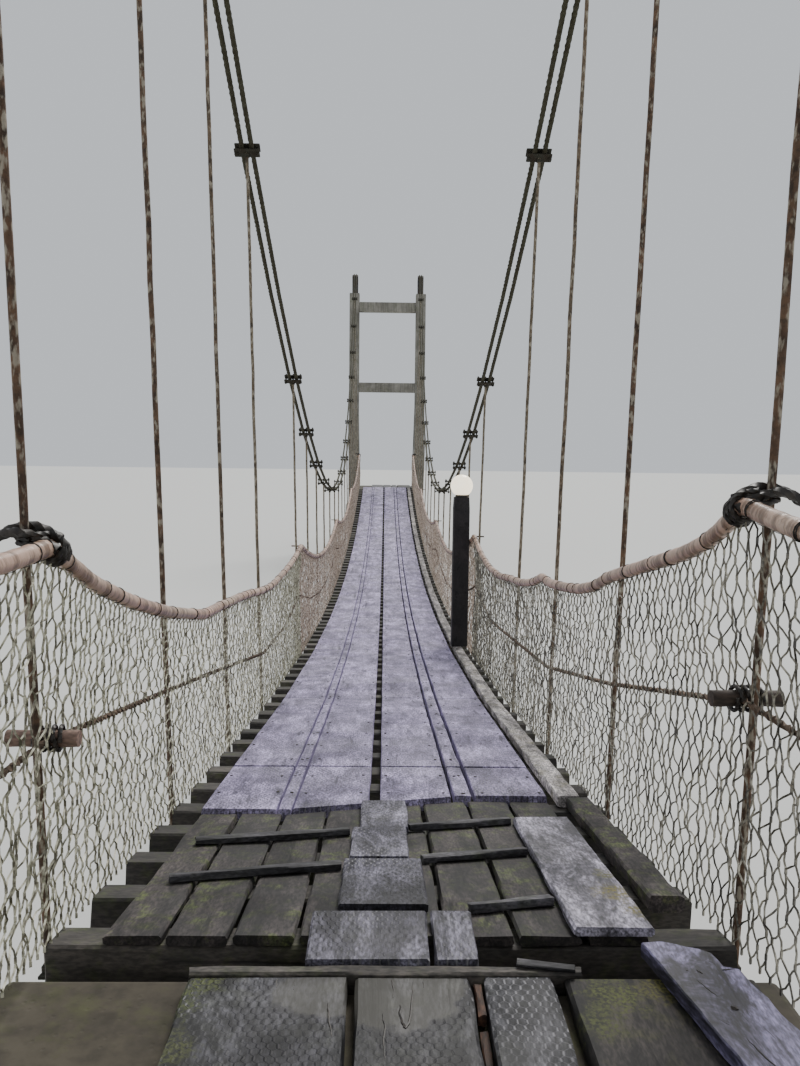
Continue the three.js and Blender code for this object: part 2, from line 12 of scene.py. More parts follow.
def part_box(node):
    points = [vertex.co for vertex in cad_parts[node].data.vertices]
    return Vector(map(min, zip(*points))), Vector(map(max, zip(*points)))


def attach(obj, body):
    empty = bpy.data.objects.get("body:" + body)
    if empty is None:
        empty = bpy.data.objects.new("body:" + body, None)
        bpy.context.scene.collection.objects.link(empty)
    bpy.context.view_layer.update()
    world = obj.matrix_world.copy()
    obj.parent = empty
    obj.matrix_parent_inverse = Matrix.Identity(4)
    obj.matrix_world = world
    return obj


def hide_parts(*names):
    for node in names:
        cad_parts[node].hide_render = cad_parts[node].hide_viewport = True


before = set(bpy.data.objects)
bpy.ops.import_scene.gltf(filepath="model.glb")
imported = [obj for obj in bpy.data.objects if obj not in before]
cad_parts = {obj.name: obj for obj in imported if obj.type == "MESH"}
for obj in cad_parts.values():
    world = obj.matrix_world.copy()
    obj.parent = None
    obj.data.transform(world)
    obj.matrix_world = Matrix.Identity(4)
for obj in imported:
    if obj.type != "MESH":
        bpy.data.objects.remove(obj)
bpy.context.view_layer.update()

bl_info = {
    "name": "Rope Suspension Footbridge",
    "version": (1, 0, 0),
    "blender": (4, 5, 0),
    "location": "3D View > Sidebar > Footbridge",
    "description": "Dresses the footbridge's solids with ropes, nets, boards and weathered finishes",
    "category": "Object",
}

# Lines of the bridge, in metres. Hangers stand at stations 0 to 20, and the towers at -1 and 21.
BAY = 1.2
LAST = 20
MIDDLE = 10
MISSING_HANGER = 4
HALF_SPAN = 13.2
CABLE_LOW, CABLE_RISE = 2.38, 6.014
EYE_LEVEL = 3.0
DECK_LOW, DECK_RISE = 0.92, 0.98
PLANK, SLEEPER, BEARER = 0.045, 0.09, 0.08
UNDERSIDE = -PLANK - SLEEPER
FOOT_PLATE = 0.008
GAP = 0.0003
LANDING_TOP = 1.84
SIDE_X = 0.79
RAIL_RADIUS = 0.022
RAIL_OVER_DECK, RAIL_OVER_LANDING, RAIL_SAG = 0.955, 0.915, 0.28
ROD_X = 0.815
JOINTS = [0, *range(1, LAST, 2), LAST]
SECTIONS = [f"deck_section_{a:02d}_{b:02d}" for a, b in zip(JOINTS, JOINTS[1:])]
ENDS = (("near", -1), ("far", 1))
SIDES = (("left", -1), ("right", 1))
UP = Vector((0, 0, 1))


def station_y(k):
    return (k - MIDDLE) * BAY


def cable_z(y):
    return CABLE_LOW + CABLE_RISE * (y / HALF_SPAN) ** 2


def cable_slope(y):
    return 2 * CABLE_RISE * y / HALF_SPAN ** 2


def cable_x(z):
    return 0.847 + 0.026 * (z - EYE_LEVEL)


def joint_z(k):
    return DECK_LOW + DECK_RISE * ((k - MIDDLE) / MIDDLE) ** 2


def section(index):
    """One deck section: its first and last station, its place and its length."""
    start, end = JOINTS[index], JOINTS[index + 1]
    run = station_y(end) - station_y(start)
    rise = joint_z(end) - joint_z(start)
    place = Matrix.Translation((0, station_y(start), joint_z(start))) @ Matrix.Rotation(math.atan2(rise, run), 4, "X")
    return start, end, place, math.hypot(run, rise)


def section_at(k):
    return section(next((i for i, joint in enumerate(JOINTS) if joint > k), len(JOINTS) - 1) - 1)


def deck_z(k):
    start, end, _, _ = section_at(k)
    return joint_z(start) + (joint_z(end) - joint_z(start)) * (k - start) / (end - start)


TIES = [-1, 0, 5, 10, 15, 20, 21]

# How far each hand rope hangs off its even curve in the near bays, as station and millimetres.
WANDER = {
    -1: ((-1, -20), (-0.2, -68), (0, -80), (0.1, -95), (0.25, -122), (0.5, -134), (0.9, -133), (1.4, -117), (1.7, -80),
         (2.1, -43), (2.5, -30), (3.1, -40), (3.9, -19), (5, 0)),
    1: ((-1, 0), (-0.2, 17), (-0.05, 22), (0, 32), (0.08, 6), (0.17, -8), (0.3, -11), (0.56, 2), (0.84, 14), (1, 16),
        (1.16, -2), (1.37, 1), (1.72, 29), (1.95, 50), (2.1, 84), (2.25, 60), (2.7, 36), (3.07, 42), (3.5, 15),
        (4, 15), (4.5, 42), (5, 105), (6, 60), (8, 0)),
}
FINE = np.linspace(-1, 21, 2201)
SOFT = {side: np.convolve(np.interp(FINE, *zip(*table), right=0) / 1000, np.ones(9) / 9, "same")
        for side, table in WANDER.items()}

# How far each middle rope lies over its even line in the near bays, as station and metres.
MIDDLE_DROP = 0.455
MIDDLE_LIFT = {
    -1: ((0, 0), (1, 0.171), (2, 0.120), (3, 0.035), (4, 0)),
    1: ((0, 0), (1, 0.058), (2, 0.010), (3, 0.060), (4, 0.030), (5, 0)),
}


def rail_z(side, y):
    """Height of the hand rope, which sags between the hangers that it is tied to."""
    k = y / BAY + MIDDLE
    after = max(1, next((i for i, tie in enumerate(TIES) if tie >= k - 1e-9), len(TIES) - 1))
    start, end = TIES[after - 1], TIES[after]
    part = (k - start) / (end - start)
    first, last = (LANDING_TOP + PLANK + RAIL_OVER_LANDING if tie < 0 or tie > LAST else deck_z(tie) + RAIL_OVER_DECK
                   for tie in (start, end))
    sag = RAIL_SAG * ((end - start) / 5) ** 2
    even = first + (last - first) * part - 4 * sag * part * (1 - part)
    return even + float(np.interp(k, FINE, SOFT[side]))


def net_bottom(y):
    past = max(0, abs(y) - station_y(LAST))
    k = min(max(y / BAY + MIDDLE, 0), LAST)
    return deck_z(k) - PLANK + 0.0006 + 0.16 * min(past, BAY / 2)


ROPE_FLAT = 0.0175 * math.cos(math.pi / 6)
CLAMP_X, CLAMP_Y, CLAMP_PLATE = 0.0775, 0.03, 0.012
CLAMP_LOW, CLAMP_HIGH = -ROPE_FLAT - GAP, ROPE_FLAT + 0.0019
NUT, BOLT_END = 0.011, 0.022
BOLT_LENGTH = CLAMP_HIGH - CLAMP_LOW + 2 * CLAMP_PLATE + 0.04


def rod_line(side, k):
    """The clamp's place on the main ropes, and the two ends of the hanger rod."""
    y = station_y(k)
    start, _, place, _ = section_at(k)
    turn = place.to_euler().x
    level = UNDERSIDE - FOOT_PLATE / 2
    seat = Matrix.Translation((side * cable_x(cable_z(y)), y, cable_z(y)))
    seat = seat @ Matrix.Rotation(math.atan(cable_slope(y)), 4, "X")
    along = (y - station_y(start) + level * math.sin(turn)) / math.cos(turn)
    bottom = place @ Vector((side * ROD_X, along, level))
    top = seat @ Vector((0, 0, CLAMP_LOW - CLAMP_PLATE / 2))
    return seat, bottom, top


def rod_at(side, k, z):
    _, bottom, top = rod_line(side, k)
    return bottom.lerp(top, (z - bottom.z) / (top.z - bottom.z))


# Meshes


def smooth(mesh, degrees):
    """Smooth shading, but for edges that are sharper than this."""
    mesh.polygons.foreach_set("use_smooth", [True] * len(mesh.polygons))
    mesh.set_sharp_from_angle(angle=math.radians(degrees))


def mark(mesh, name, values, kind="FLOAT", key="value"):
    """Stores a value with each point."""
    mesh.attributes.new(name, kind, "POINT").data.foreach_set(key, values)


class Shell:
    """Gathers closed forms into one mesh, with a tint for each form."""

    def __init__(self):
        self.points, self.faces, self.tints = [], [], []

    def add(self, points, faces, tint=0.5):
        first = len(self.points)
        self.points.extend(tuple(p) for p in points)
        self.faces.extend(tuple(first + i for i in face) for face in faces)
        self.tints.extend([tint] * len(points))

    def lay(self, low, high, place, seed, *form, tint, **cut):
        """Adds a sawn board."""
        self.add(*board(low, high, place, seed, *form, **cut), tint)

    def mesh(self, name, degrees=35):
        mesh = bpy.data.meshes.new(name)
        mesh.from_pydata(self.points, [], self.faces)
        mark(mesh, "tint", self.tints)
        smooth(mesh, degrees)
        return mesh


class Spots:
    """Points that a tree repeats a shape on, each with the way that the shape's axis points."""

    def __init__(self):
        self.points, self.leans = [], []

    def add(self, point, axis):
        self.points.append(tuple(point))
        self.leans.extend(axis.to_track_quat("Z", "Y").to_euler())

    def mesh(self):
        mesh = bpy.data.meshes.new("spots")
        mesh.from_pydata(self.points, [], [])
        mark(mesh, "lean", self.leans, "FLOAT_VECTOR", "vector")
        return mesh


def line_mesh(chains, thick=None):
    """A mesh of edges only, one chain of points after another."""
    points, edges = [], []
    for chain in chains:
        first = len(points)
        points.extend(tuple(p) for p in chain)
        edges.extend((first + i, first + i + 1) for i in range(len(chain) - 1))
    mesh = bpy.data.meshes.new("lines")
    mesh.from_pydata(points, edges, [])
    if thick:
        mark(mesh, "thick", thick)
    return mesh


def rings(count, sides):
    """Faces of a closed tube made of rings, with a flat cap at each end."""
    faces = []
    for i in range(count - 1):
        for j in range(sides):
            a, b = i * sides + j, i * sides + (j + 1) % sides
            faces.append((a, b, b + sides, a + sides))
    return faces + [tuple(range(sides - 1, -1, -1)), tuple(range((count - 1) * sides, count * sides))]


def tube(path, radii, sides):
    """Rings round a path, without twist between them."""
    path = np.asarray(path, float)
    ahead = np.gradient(path, axis=0)
    ahead /= np.linalg.norm(ahead, axis=1)[:, None]
    side = np.cross(ahead[0], (0, 0, 1))
    if np.linalg.norm(side) < 0.1:
        side = np.cross(ahead[0], (1, 0, 0))
    radii = np.broadcast_to(np.asarray(radii, float), (len(path),)) if np.ndim(radii) < 2 else radii
    angles = np.arange(sides) * 2 * math.pi / sides
    points = []
    for centre, way, radius in zip(path, ahead, radii):
        side = side - way * side.dot(way)
        side /= np.linalg.norm(side)
        up = np.cross(way, side)
        r = np.asarray(radius)
        points.append(centre + (r * np.cos(angles))[:, None] * side + (r * np.sin(angles))[:, None] * up)
    return np.concatenate(points), rings(len(path), sides)


def octagon(a0, a1, b0, b1, cut):
    """Corners of a rectangle whose own corners are cut off."""
    return ((a0 + cut, b0), (a1 - cut, b0), (a1, b0 + cut), (a1, b1 - cut), (a1 - cut, b1), (a0 + cut, b1),
            (a0, b1 - cut), (a0, b0 + cut))


INWARD = ((1, 1), (-1, 1), (-1, 1), (-1, -1), (-1, -1), (1, -1), (1, -1), (1, 1))


def board(low, high, place, seed, wear, chamfer, step, axis=1, warp=0.002, slant=(0, 0)):
    """A sawn board with worn edges, as rings along X or Y of its own frame. Its two ends may be cut aslant."""
    rng = random.Random(seed)
    across = 1 - axis
    count = max(3, int((high[axis] - low[axis]) / step) + 1)
    u0, u1 = low[2], high[2]
    outline = octagon(low[across], high[across], u0, u1, chamfer)
    drift = [rng.uniform(0, 100) for _ in range(3)]
    points = []
    for i in range(count):
        part = i / (count - 1)
        along = low[axis] + (high[axis] - low[axis]) * part
        cup = warp * noise.noise((along * 2.1, drift[0], drift[1]))
        for j, ((a, u), (da, du)) in enumerate(zip(outline, INWARD)):
            bite = wear * max(0, noise.noise((along * 7, j * 3.1, drift[2])) + 0.2)
            ragged = wear * (rng.random() - 0.5) if i in (0, count - 1) else 0
            cut = a * (slant[0] * (1 - part) + slant[1] * part)
            p = [0, 0, u + du * bite * 0.6 + (min(0, cup) if u > (u0 + u1) / 2 else 0)]
            p[axis] = along + ragged * (1 if i == 0 else -1) + cut
            p[across] = a + da * bite
            points.append(place @ Vector(p))
    faces = rings(count, 8)
    return points, [face[::-1] for face in faces] if axis == 1 else faces


def cut_board(outline, low, high, place, seed, wear, chamfer, step=0.03):
    """A board of any outline, anticlockwise seen from above, with a worn rim."""
    rng = random.Random(seed)
    rim = []
    for (x0, y0), (x1, y1) in zip(outline, outline[1:] + outline[:1]):
        count = max(1, round(math.hypot(x1 - x0, y1 - y0) / step))
        rim += [Vector((x0 + (x1 - x0) * i / count, y0 + (y1 - y0) * i / count)) for i in range(count)]
    inward = []
    for before, after in zip(rim[-1:] + rim[:-1], rim[1:] + rim[:1]):
        way = (after - before).normalized()
        inward.append(Vector((-way.y, way.x)))
    bites = [wear * rng.random() for _ in rim]
    points = []
    for z, inset in ((low, chamfer), (low + chamfer, 0), (high - chamfer, 0), (high, chamfer)):
        for here, way, bite in zip(rim, inward, bites):
            at = here + way * (inset + bite)
            points.append(place @ Vector((at.x, at.y, z)))
    return points, rings(4, len(rim))


def box_form(low, high, place, chamfer):
    """A block with chamfered upright edges and ends."""
    (x0, y0, z0), (x1, y1, z1) = low, high
    points = []
    for z, inset in ((z0, chamfer), (z0 + chamfer, 0), (z1 - chamfer, 0), (z1, chamfer)):
        corners = octagon(x0 + inset, x1 - inset, y0 + inset, y1 - inset, chamfer)
        points += [place @ Vector((x, y, z)) for x, y in corners]
    return points, rings(4, 8)


def prism(low, high, radius, sides, chamfer):
    """A round or many-sided bar from low to high, with small bevels."""
    way = (high - low).normalized()
    path = [tuple(p) for p in (low, low + way * chamfer, high - way * chamfer, high)]
    return tube(path, [radius - chamfer, radius, radius, radius - chamfer], sides)


def lathe(profile, x, y, sides):
    """A closed turned form; the profile starts and ends on the axis."""
    points, faces = [(x, y, profile[0][1])], []
    for radius, z in profile[1:-1]:
        for j in range(sides):
            angle = 2 * math.pi * j / sides
            points.append((x + radius * math.cos(angle), y + radius * math.sin(angle), z))
    points.append((x, y, profile[-1][1]))
    last, count = len(points) - 1, len(profile) - 2
    for j in range(sides):
        after = (j + 1) % sides
        faces.append((0, 1 + after, 1 + j))
        faces.append((last, 1 + (count - 1) * sides + j, 1 + (count - 1) * sides + after))
        for i in range(count - 1):
            a, b = 1 + i * sides + j, 1 + i * sides + after
            faces.append((a, b, b + sides, a + sides))
    return points, faces


def cast_form(obj, wear):
    """The node's own block as one closed form, with its sharp edges worn round."""
    form = bmesh.new()
    form.from_mesh(obj.data)
    form.transform(obj.matrix_world)
    bmesh.ops.remove_doubles(form, verts=form.verts, dist=1e-5)
    bmesh.ops.dissolve_limit(form, angle_limit=0.01, verts=form.verts, edges=form.edges)
    sharp = [edge for edge in form.edges if edge.calc_face_angle(0.0) > 0.5]
    bmesh.ops.bevel(form, geom=sharp, offset=wear, segments=3, profile=0.5, affect="EDGES", clamp_overlap=True)
    bmesh.ops.recalc_face_normals(form, faces=form.faces)
    mesh = bpy.data.meshes.new(obj.name)
    form.to_mesh(mesh)
    form.free()
    return mesh


def piece(name, mesh, look, nodes):
    """Puts a finished mesh in the scene, on the bridge's one body. What a tree made has its material already."""
    obj = bpy.data.objects.new(name, mesh)
    bpy.context.scene.collection.objects.link(obj)
    if look:
        mesh.materials.append(finishes()[look])
    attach(obj, "root")
    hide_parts(*nodes)


def wooden(name, shell, look, nodes):
    piece(name, shell.mesh(name), look, nodes)


# Node trees


class Nodes:
    """A node tree, with short ways to add nodes. Values are (socket, number or output) pairs."""

    def __init__(self, tree):
        self.tree = tree

    def sockets(self, way, kinds):
        for label, kind in kinds.items():
            self.tree.interface.new_socket(label, in_out=way, socket_type="NodeSocket" + kind)

    def node(self, kind, values=(), **props):
        node = self.tree.nodes.new(kind)
        for key, value in props.items():
            setattr(node, key, value)
        for key, value in values:
            if isinstance(value, bpy.types.NodeSocket):
                self.tree.links.new(value, node.inputs[key])
            else:
                node.inputs[key].default_value = value
        return node

    def put(self, kind, values=(), **props):
        """The first output of a new node."""
        return self.node(kind, values, **props).outputs[0]

    def calc(self, operation, *values):
        return self.put("ShaderNodeMath", enumerate(values), operation=operation)

    def vector(self, operation, *values):
        outputs = self.node("ShaderNodeVectorMath", enumerate(values), operation=operation).outputs
        return outputs["Value" if operation in ("DOT_PRODUCT", "LENGTH", "DISTANCE") else "Vector"]

    def span(self, value, low, high, to_low=0.0, to_high=1.0):
        """Maps a value from one range to another."""
        return self.put("ShaderNodeMapRange", enumerate((value, low, high, to_low, to_high)))

    def ramp(self, value, *stops):
        """Maps a value through (position, grey) stops."""
        node = self.node("ShaderNodeValToRGB", [("Fac", value)])
        for stop, (position, grey) in zip(node.color_ramp.elements, stops):
            stop.position = position
            stop.color = (grey, grey, grey, 1)
        return node.outputs["Color"]

    def noise(self, vector, scale, detail, roughness=0.5, distortion=0.0):
        return self.put("ShaderNodeTexNoise", [("Vector", vector), ("Scale", scale), ("Detail", detail),
                        ("Roughness", roughness), ("Distortion", distortion)])

    def turned(self, vector, scale=(1, 1, 1), rotation=(0, 0, 0)):
        return self.put("ShaderNodeMapping", [("Vector", vector), ("Scale", scale), ("Rotation", rotation)])

    def mix(self, factor, a, b, blend="MIX"):
        node = self.node("ShaderNodeMix", [(0, factor), (6, a), (7, b)], data_type="RGBA", blend_type=blend)
        return node.outputs[2]

    def times(self, a, b):
        return self.mix(1.0, a, b, "MULTIPLY")


# Geometry Nodes


class Growth(Nodes):
    """A geometry tree that makes solids of the edges or points that come in."""

    def __init__(self, name, **kinds):
        super().__init__(bpy.data.node_groups.new(name, "GeometryNodeTree"))
        self.sockets("INPUT", {"Geometry": "Geometry", **kinds, "Material": "Material"})
        self.sockets("OUTPUT", {"Geometry": "Geometry"})
        self.given = self.node("NodeGroupInput").outputs

    def attribute(self, name, kind):
        return self.put("GeometryNodeInputNamedAttribute", [("Name", name)], data_type=kind)

    def circle(self, resolution, radius):
        return self.put("GeometryNodeCurvePrimitiveCircle", [("Resolution", resolution), ("Radius", radius)],
                        mode="RADIUS")

    def sweep(self, curve, profile, caps=True):
        return self.node("GeometryNodeCurveToMesh", [("Curve", curve), ("Profile Curve", profile),
                         ("Fill Caps", caps)])

    def spread(self, shape):
        """Ends the tree with the shape on each point, turned as the point's "lean" says."""
        lean = self.attribute("lean", "FLOAT_VECTOR")
        return self.end(self.put("GeometryNodeInstanceOnPoints", [("Points", self.given["Geometry"]),
                                 ("Instance", shape), ("Rotation", lean)]))

    def end(self, shape):
        """Ends the tree with plain meshes in the material that came in."""
        real = self.put("GeometryNodeRealizeInstances", [("Geometry", shape)])
        done = self.put("GeometryNodeSetMaterial", [("Geometry", real), ("Material", self.given["Material"])])
        self.node("NodeGroupOutput", [(0, done)])
        return self.tree


def laid_rope():
    """Laid rope along mesh edges: strands as lobes of the section, turned along the length."""
    make = Growth("Laid rope", Radius="Float", Lay="Float", Step="Float", Strands="Int", Groove="Float")
    given = make.given
    curve = make.put("GeometryNodeMeshToCurve", [("Mesh", given["Geometry"])])
    even = make.put("GeometryNodeResampleCurve", [("Curve", curve), ("Length", given["Step"])], mode="LENGTH")
    along = make.node("GeometryNodeSplineParameter").outputs["Length"]
    turn = make.calc("MULTIPLY", make.calc("DIVIDE", along, given["Lay"]), 2 * math.pi)
    tilted = make.put("GeometryNodeSetCurveTilt", [("Curve", even), ("Tilt", turn)])
    inner = make.calc("MULTIPLY", given["Radius"], given["Groove"])
    star = make.put("GeometryNodeCurveStar", [("Points", given["Strands"]), ("Inner Radius", inner),
                    ("Outer Radius", given["Radius"])])
    return make.end(make.sweep(tilted, star).outputs[0])


def knotted_net():
    """Twine along mesh edges, as thick at each point as its "thick" value says."""
    make = Growth("Knotted net", Twine="Float")
    curve = make.put("GeometryNodeMeshToCurve", [("Mesh", make.given["Geometry"])])
    thick = make.attribute("thick", "FLOAT")
    sized = make.put("GeometryNodeSetCurveRadius", [("Curve", curve), ("Radius", thick)])
    swept = make.sweep(sized, make.circle(3, make.given["Twine"]))
    if "Scale" in swept.inputs:
        make.tree.links.new(thick, swept.inputs["Scale"])
    return make.end(swept.outputs[0])


def heads():
    """A short bar on each point: a nail head, nut or bolt."""
    make = Growth("Heads", Radius="Float", Depth="Float", Sides="Int")
    given = make.given
    return make.spread(make.put("GeometryNodeMeshCylinder", [("Vertices", given["Sides"]),
                                ("Radius", given["Radius"]), ("Depth", given["Depth"])]))


def hoops():
    """A ring of twine on each point."""
    make = Growth("Hoops", Radius="Float", Twine="Float")
    ring = make.sweep(make.circle(14, make.given["Radius"]), make.circle(4, make.given["Twine"]), caps=False)
    return make.spread(ring.outputs[0])


def grown(name, base, tree, values, look, nodes, degrees=None):
    """The piece that a geometry tree makes from a base mesh."""
    obj = bpy.data.objects.new(name + "_base", base)
    bpy.context.scene.collection.objects.link(obj)
    modifier = obj.modifiers.new("grow", "NODES")
    modifier.node_group = tree
    keys = {s.name: s.identifier for s in tree.interface.items_tree if s.in_out == "INPUT"}
    for label, value in {**values, "Material": finishes()[look]}.items():
        modifier[keys[label]] = value
    mesh = bpy.data.meshes.new_from_object(obj.evaluated_get(bpy.context.evaluated_depsgraph_get()))
    mesh.name = name
    bpy.data.objects.remove(obj)
    bpy.data.meshes.remove(base)
    if degrees:
        smooth(mesh, degrees)
    piece(name, mesh, None, nodes)


# Materials


def linear(color, alpha=1.0):
    """A display colour, 0 to 255, as the renderer's linear colour."""
    values = [c / 255 for c in color]
    return tuple(c / 12.92 if c < 0.04045 else ((c + 0.055) / 1.055) ** 2.4 for c in values) + (alpha,)


def weathering(make, given):
    """Blotches of a second colour over a first, with a third in the hollows."""
    vector, scale = given["Vector"], given["Scale"]
    broad = make.noise(vector, scale, 6.0, 0.65)
    fine = make.noise(vector, make.calc("MULTIPLY", scale, 4.3), 4.0, 0.7)
    stains = make.calc("MULTIPLY", make.ramp(broad, (0.38, 0), (0.62, 1)), given["Stain Amount"])
    growth = make.calc("MULTIPLY", make.ramp(fine, (0.5, 0), (0.66, 1)), given["Growth Amount"])
    stained = make.mix(stains, given["Base"], given["Stain"])
    return make.mix(growth, stained, given["Growth"]), make.calc("ADD", broad, fine)


def grain(make, given):
    """Wood grain along Y of the vector: fine lines, checks, damp places and a tint for each board."""
    squeezed = make.turned(given["Vector"], (1.0, 0.06, 1.0))
    lines = make.noise(squeezed, 60.0, 5.0, 0.6)
    checks = make.ramp(make.noise(squeezed, 24.0, 3.0, distortion=0.4), (0.30, 0.25), (0.38, 1))
    color = make.times(given["Color"], make.span(given["Tint"], 0.0, 1.0, 0.6, 1.25))
    color = make.times(make.times(color, make.ramp(lines, (0.3, 0.62), (0.7, 1))), checks)
    longer = make.turned(given["Vector"], (1.0, 0.3, 1.0))
    patchy = make.noise(longer, 13.0, 5.0, 0.66, 0.5)
    specks = make.noise(longer, 150.0, 2.0)
    for value, low, high in ((patchy, 0.55, 1.35), (specks, 0.5, 1.45)):
        color = make.mix(given["Contrast"], color, make.times(color, make.span(value, 0.38, 0.62, low, high)))
    pools = make.ramp(make.noise(longer, 7.0, 6.0, 0.72, 0.9), (0.42, 1), (0.54, 0))
    wet = make.calc("MULTIPLY", pools, given["Soaked"])
    color = make.mix(wet, color, make.times(color, linear((62, 60, 64))))
    return color, make.calc("ADD", lines, checks)


WIRE_CELL = 0.021
HEXAGON = (0.5, 0.866, 0)


def wire_print(make, given):
    """Hexagonal wire netting pressed into the boards: 1 on a wire, 0 between. Two sides of a cell are twisted."""
    wobble = make.node("ShaderNodeTexNoise", [("Vector", given["Vector"]), ("Scale", 16.0), ("Detail", 2.0)])
    shifted = make.vector("MULTIPLY", wobble.outputs["Color"], (0.022, 0.022, 0))
    flat = make.vector("MULTIPLY", make.vector("ADD", given["Vector"], shifted), (1, 1, 0))
    cell = make.vector("SCALE", flat, (0, 0, 0), (0, 0, 0), make.calc("DIVIDE", 1.0, WIRE_CELL))
    cells = []
    for start in ((0, 0, 0), HEXAGON):
        wrapped = make.vector("WRAP", make.vector("ADD", cell, start), (1, 1.732, 1), (0, 0, 0))
        folded = make.vector("ABSOLUTE", make.vector("SUBTRACT", wrapped, HEXAGON))
        across = make.put("ShaderNodeSeparateXYZ", [(0, folded)])
        cells.append((make.calc("MAXIMUM", make.vector("DOT_PRODUCT", folded, HEXAGON), across), across))
    (first, first_across), (second, second_across) = cells
    nearest = make.calc("MINIMUM", first, second)
    across = make.put("ShaderNodeMix", [(0, make.calc("LESS_THAN", first, second)), (2, second_across),
                      (3, first_across)])
    twisted = make.span(make.calc("SUBTRACT", nearest, across), 0.02, 0.0)
    width = make.span(twisted, 0.0, 1.0, 0.08, 0.17)
    line = make.span(make.calc("SUBTRACT", 0.5, nearest), width, 0.0)
    return (make.calc("MULTIPLY", line, make.span(twisted, 0.0, 1.0, 0.4, 1.0)),)


SOCKETS = {
    weathering: ({"Vector": "Vector", "Base": "Color", "Stain": "Color", "Growth": "Color", "Stain Amount": "Float",
                  "Growth Amount": "Float", "Scale": "Float"}, {"Color": "Color", "Height": "Float"}),
    grain: ({"Vector": "Vector", "Color": "Color", "Tint": "Float", "Contrast": "Float", "Soaked": "Float"},
            {"Color": "Color", "Height": "Float"}),
    wire_print: ({"Vector": "Vector"}, {"Line": "Float"}),
}
GROUPS = {}


def shared(fill):
    """The shader group that a function fills, made when it is first used."""
    if fill not in GROUPS:
        make = Nodes(bpy.data.node_groups.new(fill.__name__, "ShaderNodeTree"))
        inputs, outputs = SOCKETS[fill]
        make.sockets("INPUT", inputs)
        make.sockets("OUTPUT", outputs)
        make.node("NodeGroupOutput", enumerate(fill(make, make.node("NodeGroupInput").outputs)))
        GROUPS[fill] = make.tree
    return GROUPS[fill]


class Finish(Nodes):
    """A material on Object coordinates, with the shared groups at hand."""

    def __init__(self, name, metallic=0.0):
        self.material = bpy.data.materials.new(name)
        self.material.use_nodes = True
        super().__init__(self.material.node_tree)
        self.shader = self.tree.nodes["Principled BSDF"].inputs
        self.shader["Metallic"].default_value = metallic
        self.coords = self.node("ShaderNodeTexCoord").outputs["Object"]

    def use(self, fill, *values):
        """The outputs of a shared group that is given these values, in the order of its inputs."""
        return self.node("ShaderNodeGroup", enumerate(values), node_tree=shared(fill)).outputs

    def weather(self, base, stain, growth, stain_amount, growth_amount, scale):
        return self.use(weathering, self.coords, linear(base), linear(stain), linear(growth), stain_amount,
                        growth_amount, scale)

    def cloud(self, scale, detail=4.0, vector=None):
        return self.noise(vector or self.coords, scale, detail)

    def tint(self):
        return self.node("ShaderNodeAttribute", attribute_name="tint").outputs["Fac"]

    def rough(self, value, low, high):
        self.tree.links.new(self.span(value, 0.3, 0.7, low, high), self.shader["Roughness"])

    def bump(self, height, distance, strength=0.6, under=None):
        values = [("Height", height), ("Distance", distance), ("Strength", strength)]
        return self.put("ShaderNodeBump", values + [("Normal", under)] if under else values)

    def finish(self, color, normal=None):
        self.tree.links.new(color, self.shader["Base Color"])
        if normal:
            self.tree.links.new(normal, self.shader["Normal"])
        return self.material


def timber(name, base, stain, growth, stain_amount, growth_amount, across=False, printed=0.0, low=0.35, high=0.75,
           contrast=0.6, patches=(), torn=None, soaked=0.3, gloss=0.5, sky_sheen=0.0):
    """Wet weathered timber. The grain runs along Y, or along X where across is set. Patches are moss or lichen."""
    make = Finish(name)
    vector = make.turned(make.coords, rotation=(0, 0, math.pi / 2)) if across else make.coords
    weather = make.weather(base, stain, growth, stain_amount, growth_amount, 3.5)
    wood = make.use(grain, vector, weather["Color"], make.tint(), contrast, soaked)
    color, normal = wood["Color"], make.bump(wood["Height"], 0.0015)
    if printed:
        left = make.ramp(make.cloud(4.5, 3.0), (0.36, 0.1), (0.56, 1))
        line = make.calc("MULTIPLY", make.use(wire_print, make.coords)["Line"], left)
        if torn:
            line, color = torn_netting(make, line, color, *torn)
        # Where this mask is high the wire print turns light grey: a painted glint of light on the raised wires.
        # Elsewhere the wires stay dark.
        painted_glint = make.ramp(make.cloud(2.4, 2.0), (0.48, 0), (0.58, 1))
        wire = make.mix(painted_glint, linear((36, 34, 37)), linear((150, 148, 152)))
        color = make.mix(make.calc("MULTIPLY", line, printed), color, wire)
        normal = make.bump(line, 0.0015, 0.9, normal)
    for centre, radius, shade in patches:
        ragged = make.calc("MULTIPLY", make.cloud(38.0), radius * 2.2)
        edge = make.calc("ADD", make.vector("DISTANCE", make.coords, centre), ragged)
        holes = make.ramp(make.cloud(120.0, 3.0), (0.42, 0.15), (0.58, 1))
        near = make.calc("MULTIPLY", make.span(edge, radius * 2.3, radius * 1.5), holes)
        speckle = make.mix(make.cloud(170.0, 2.0), linear(shade), linear([c * 0.5 for c in shade]))
        color = make.mix(near, color, speckle)
    make.rough(weather["Height"], low, high)
    # The violet sheen at grazing angles stands for the sky's reflection in the wet boards; only the running boards use
    # it.
    for key, value in (("Specular IOR Level", gloss), ("Sheen Weight", sky_sheen), ("Sheen Roughness", 0.4),
                       ("Sheen Tint", (0.66, 0.56, 1.0, 1.0))):
        make.shader[key].default_value = value
    return make.finish(color, normal)


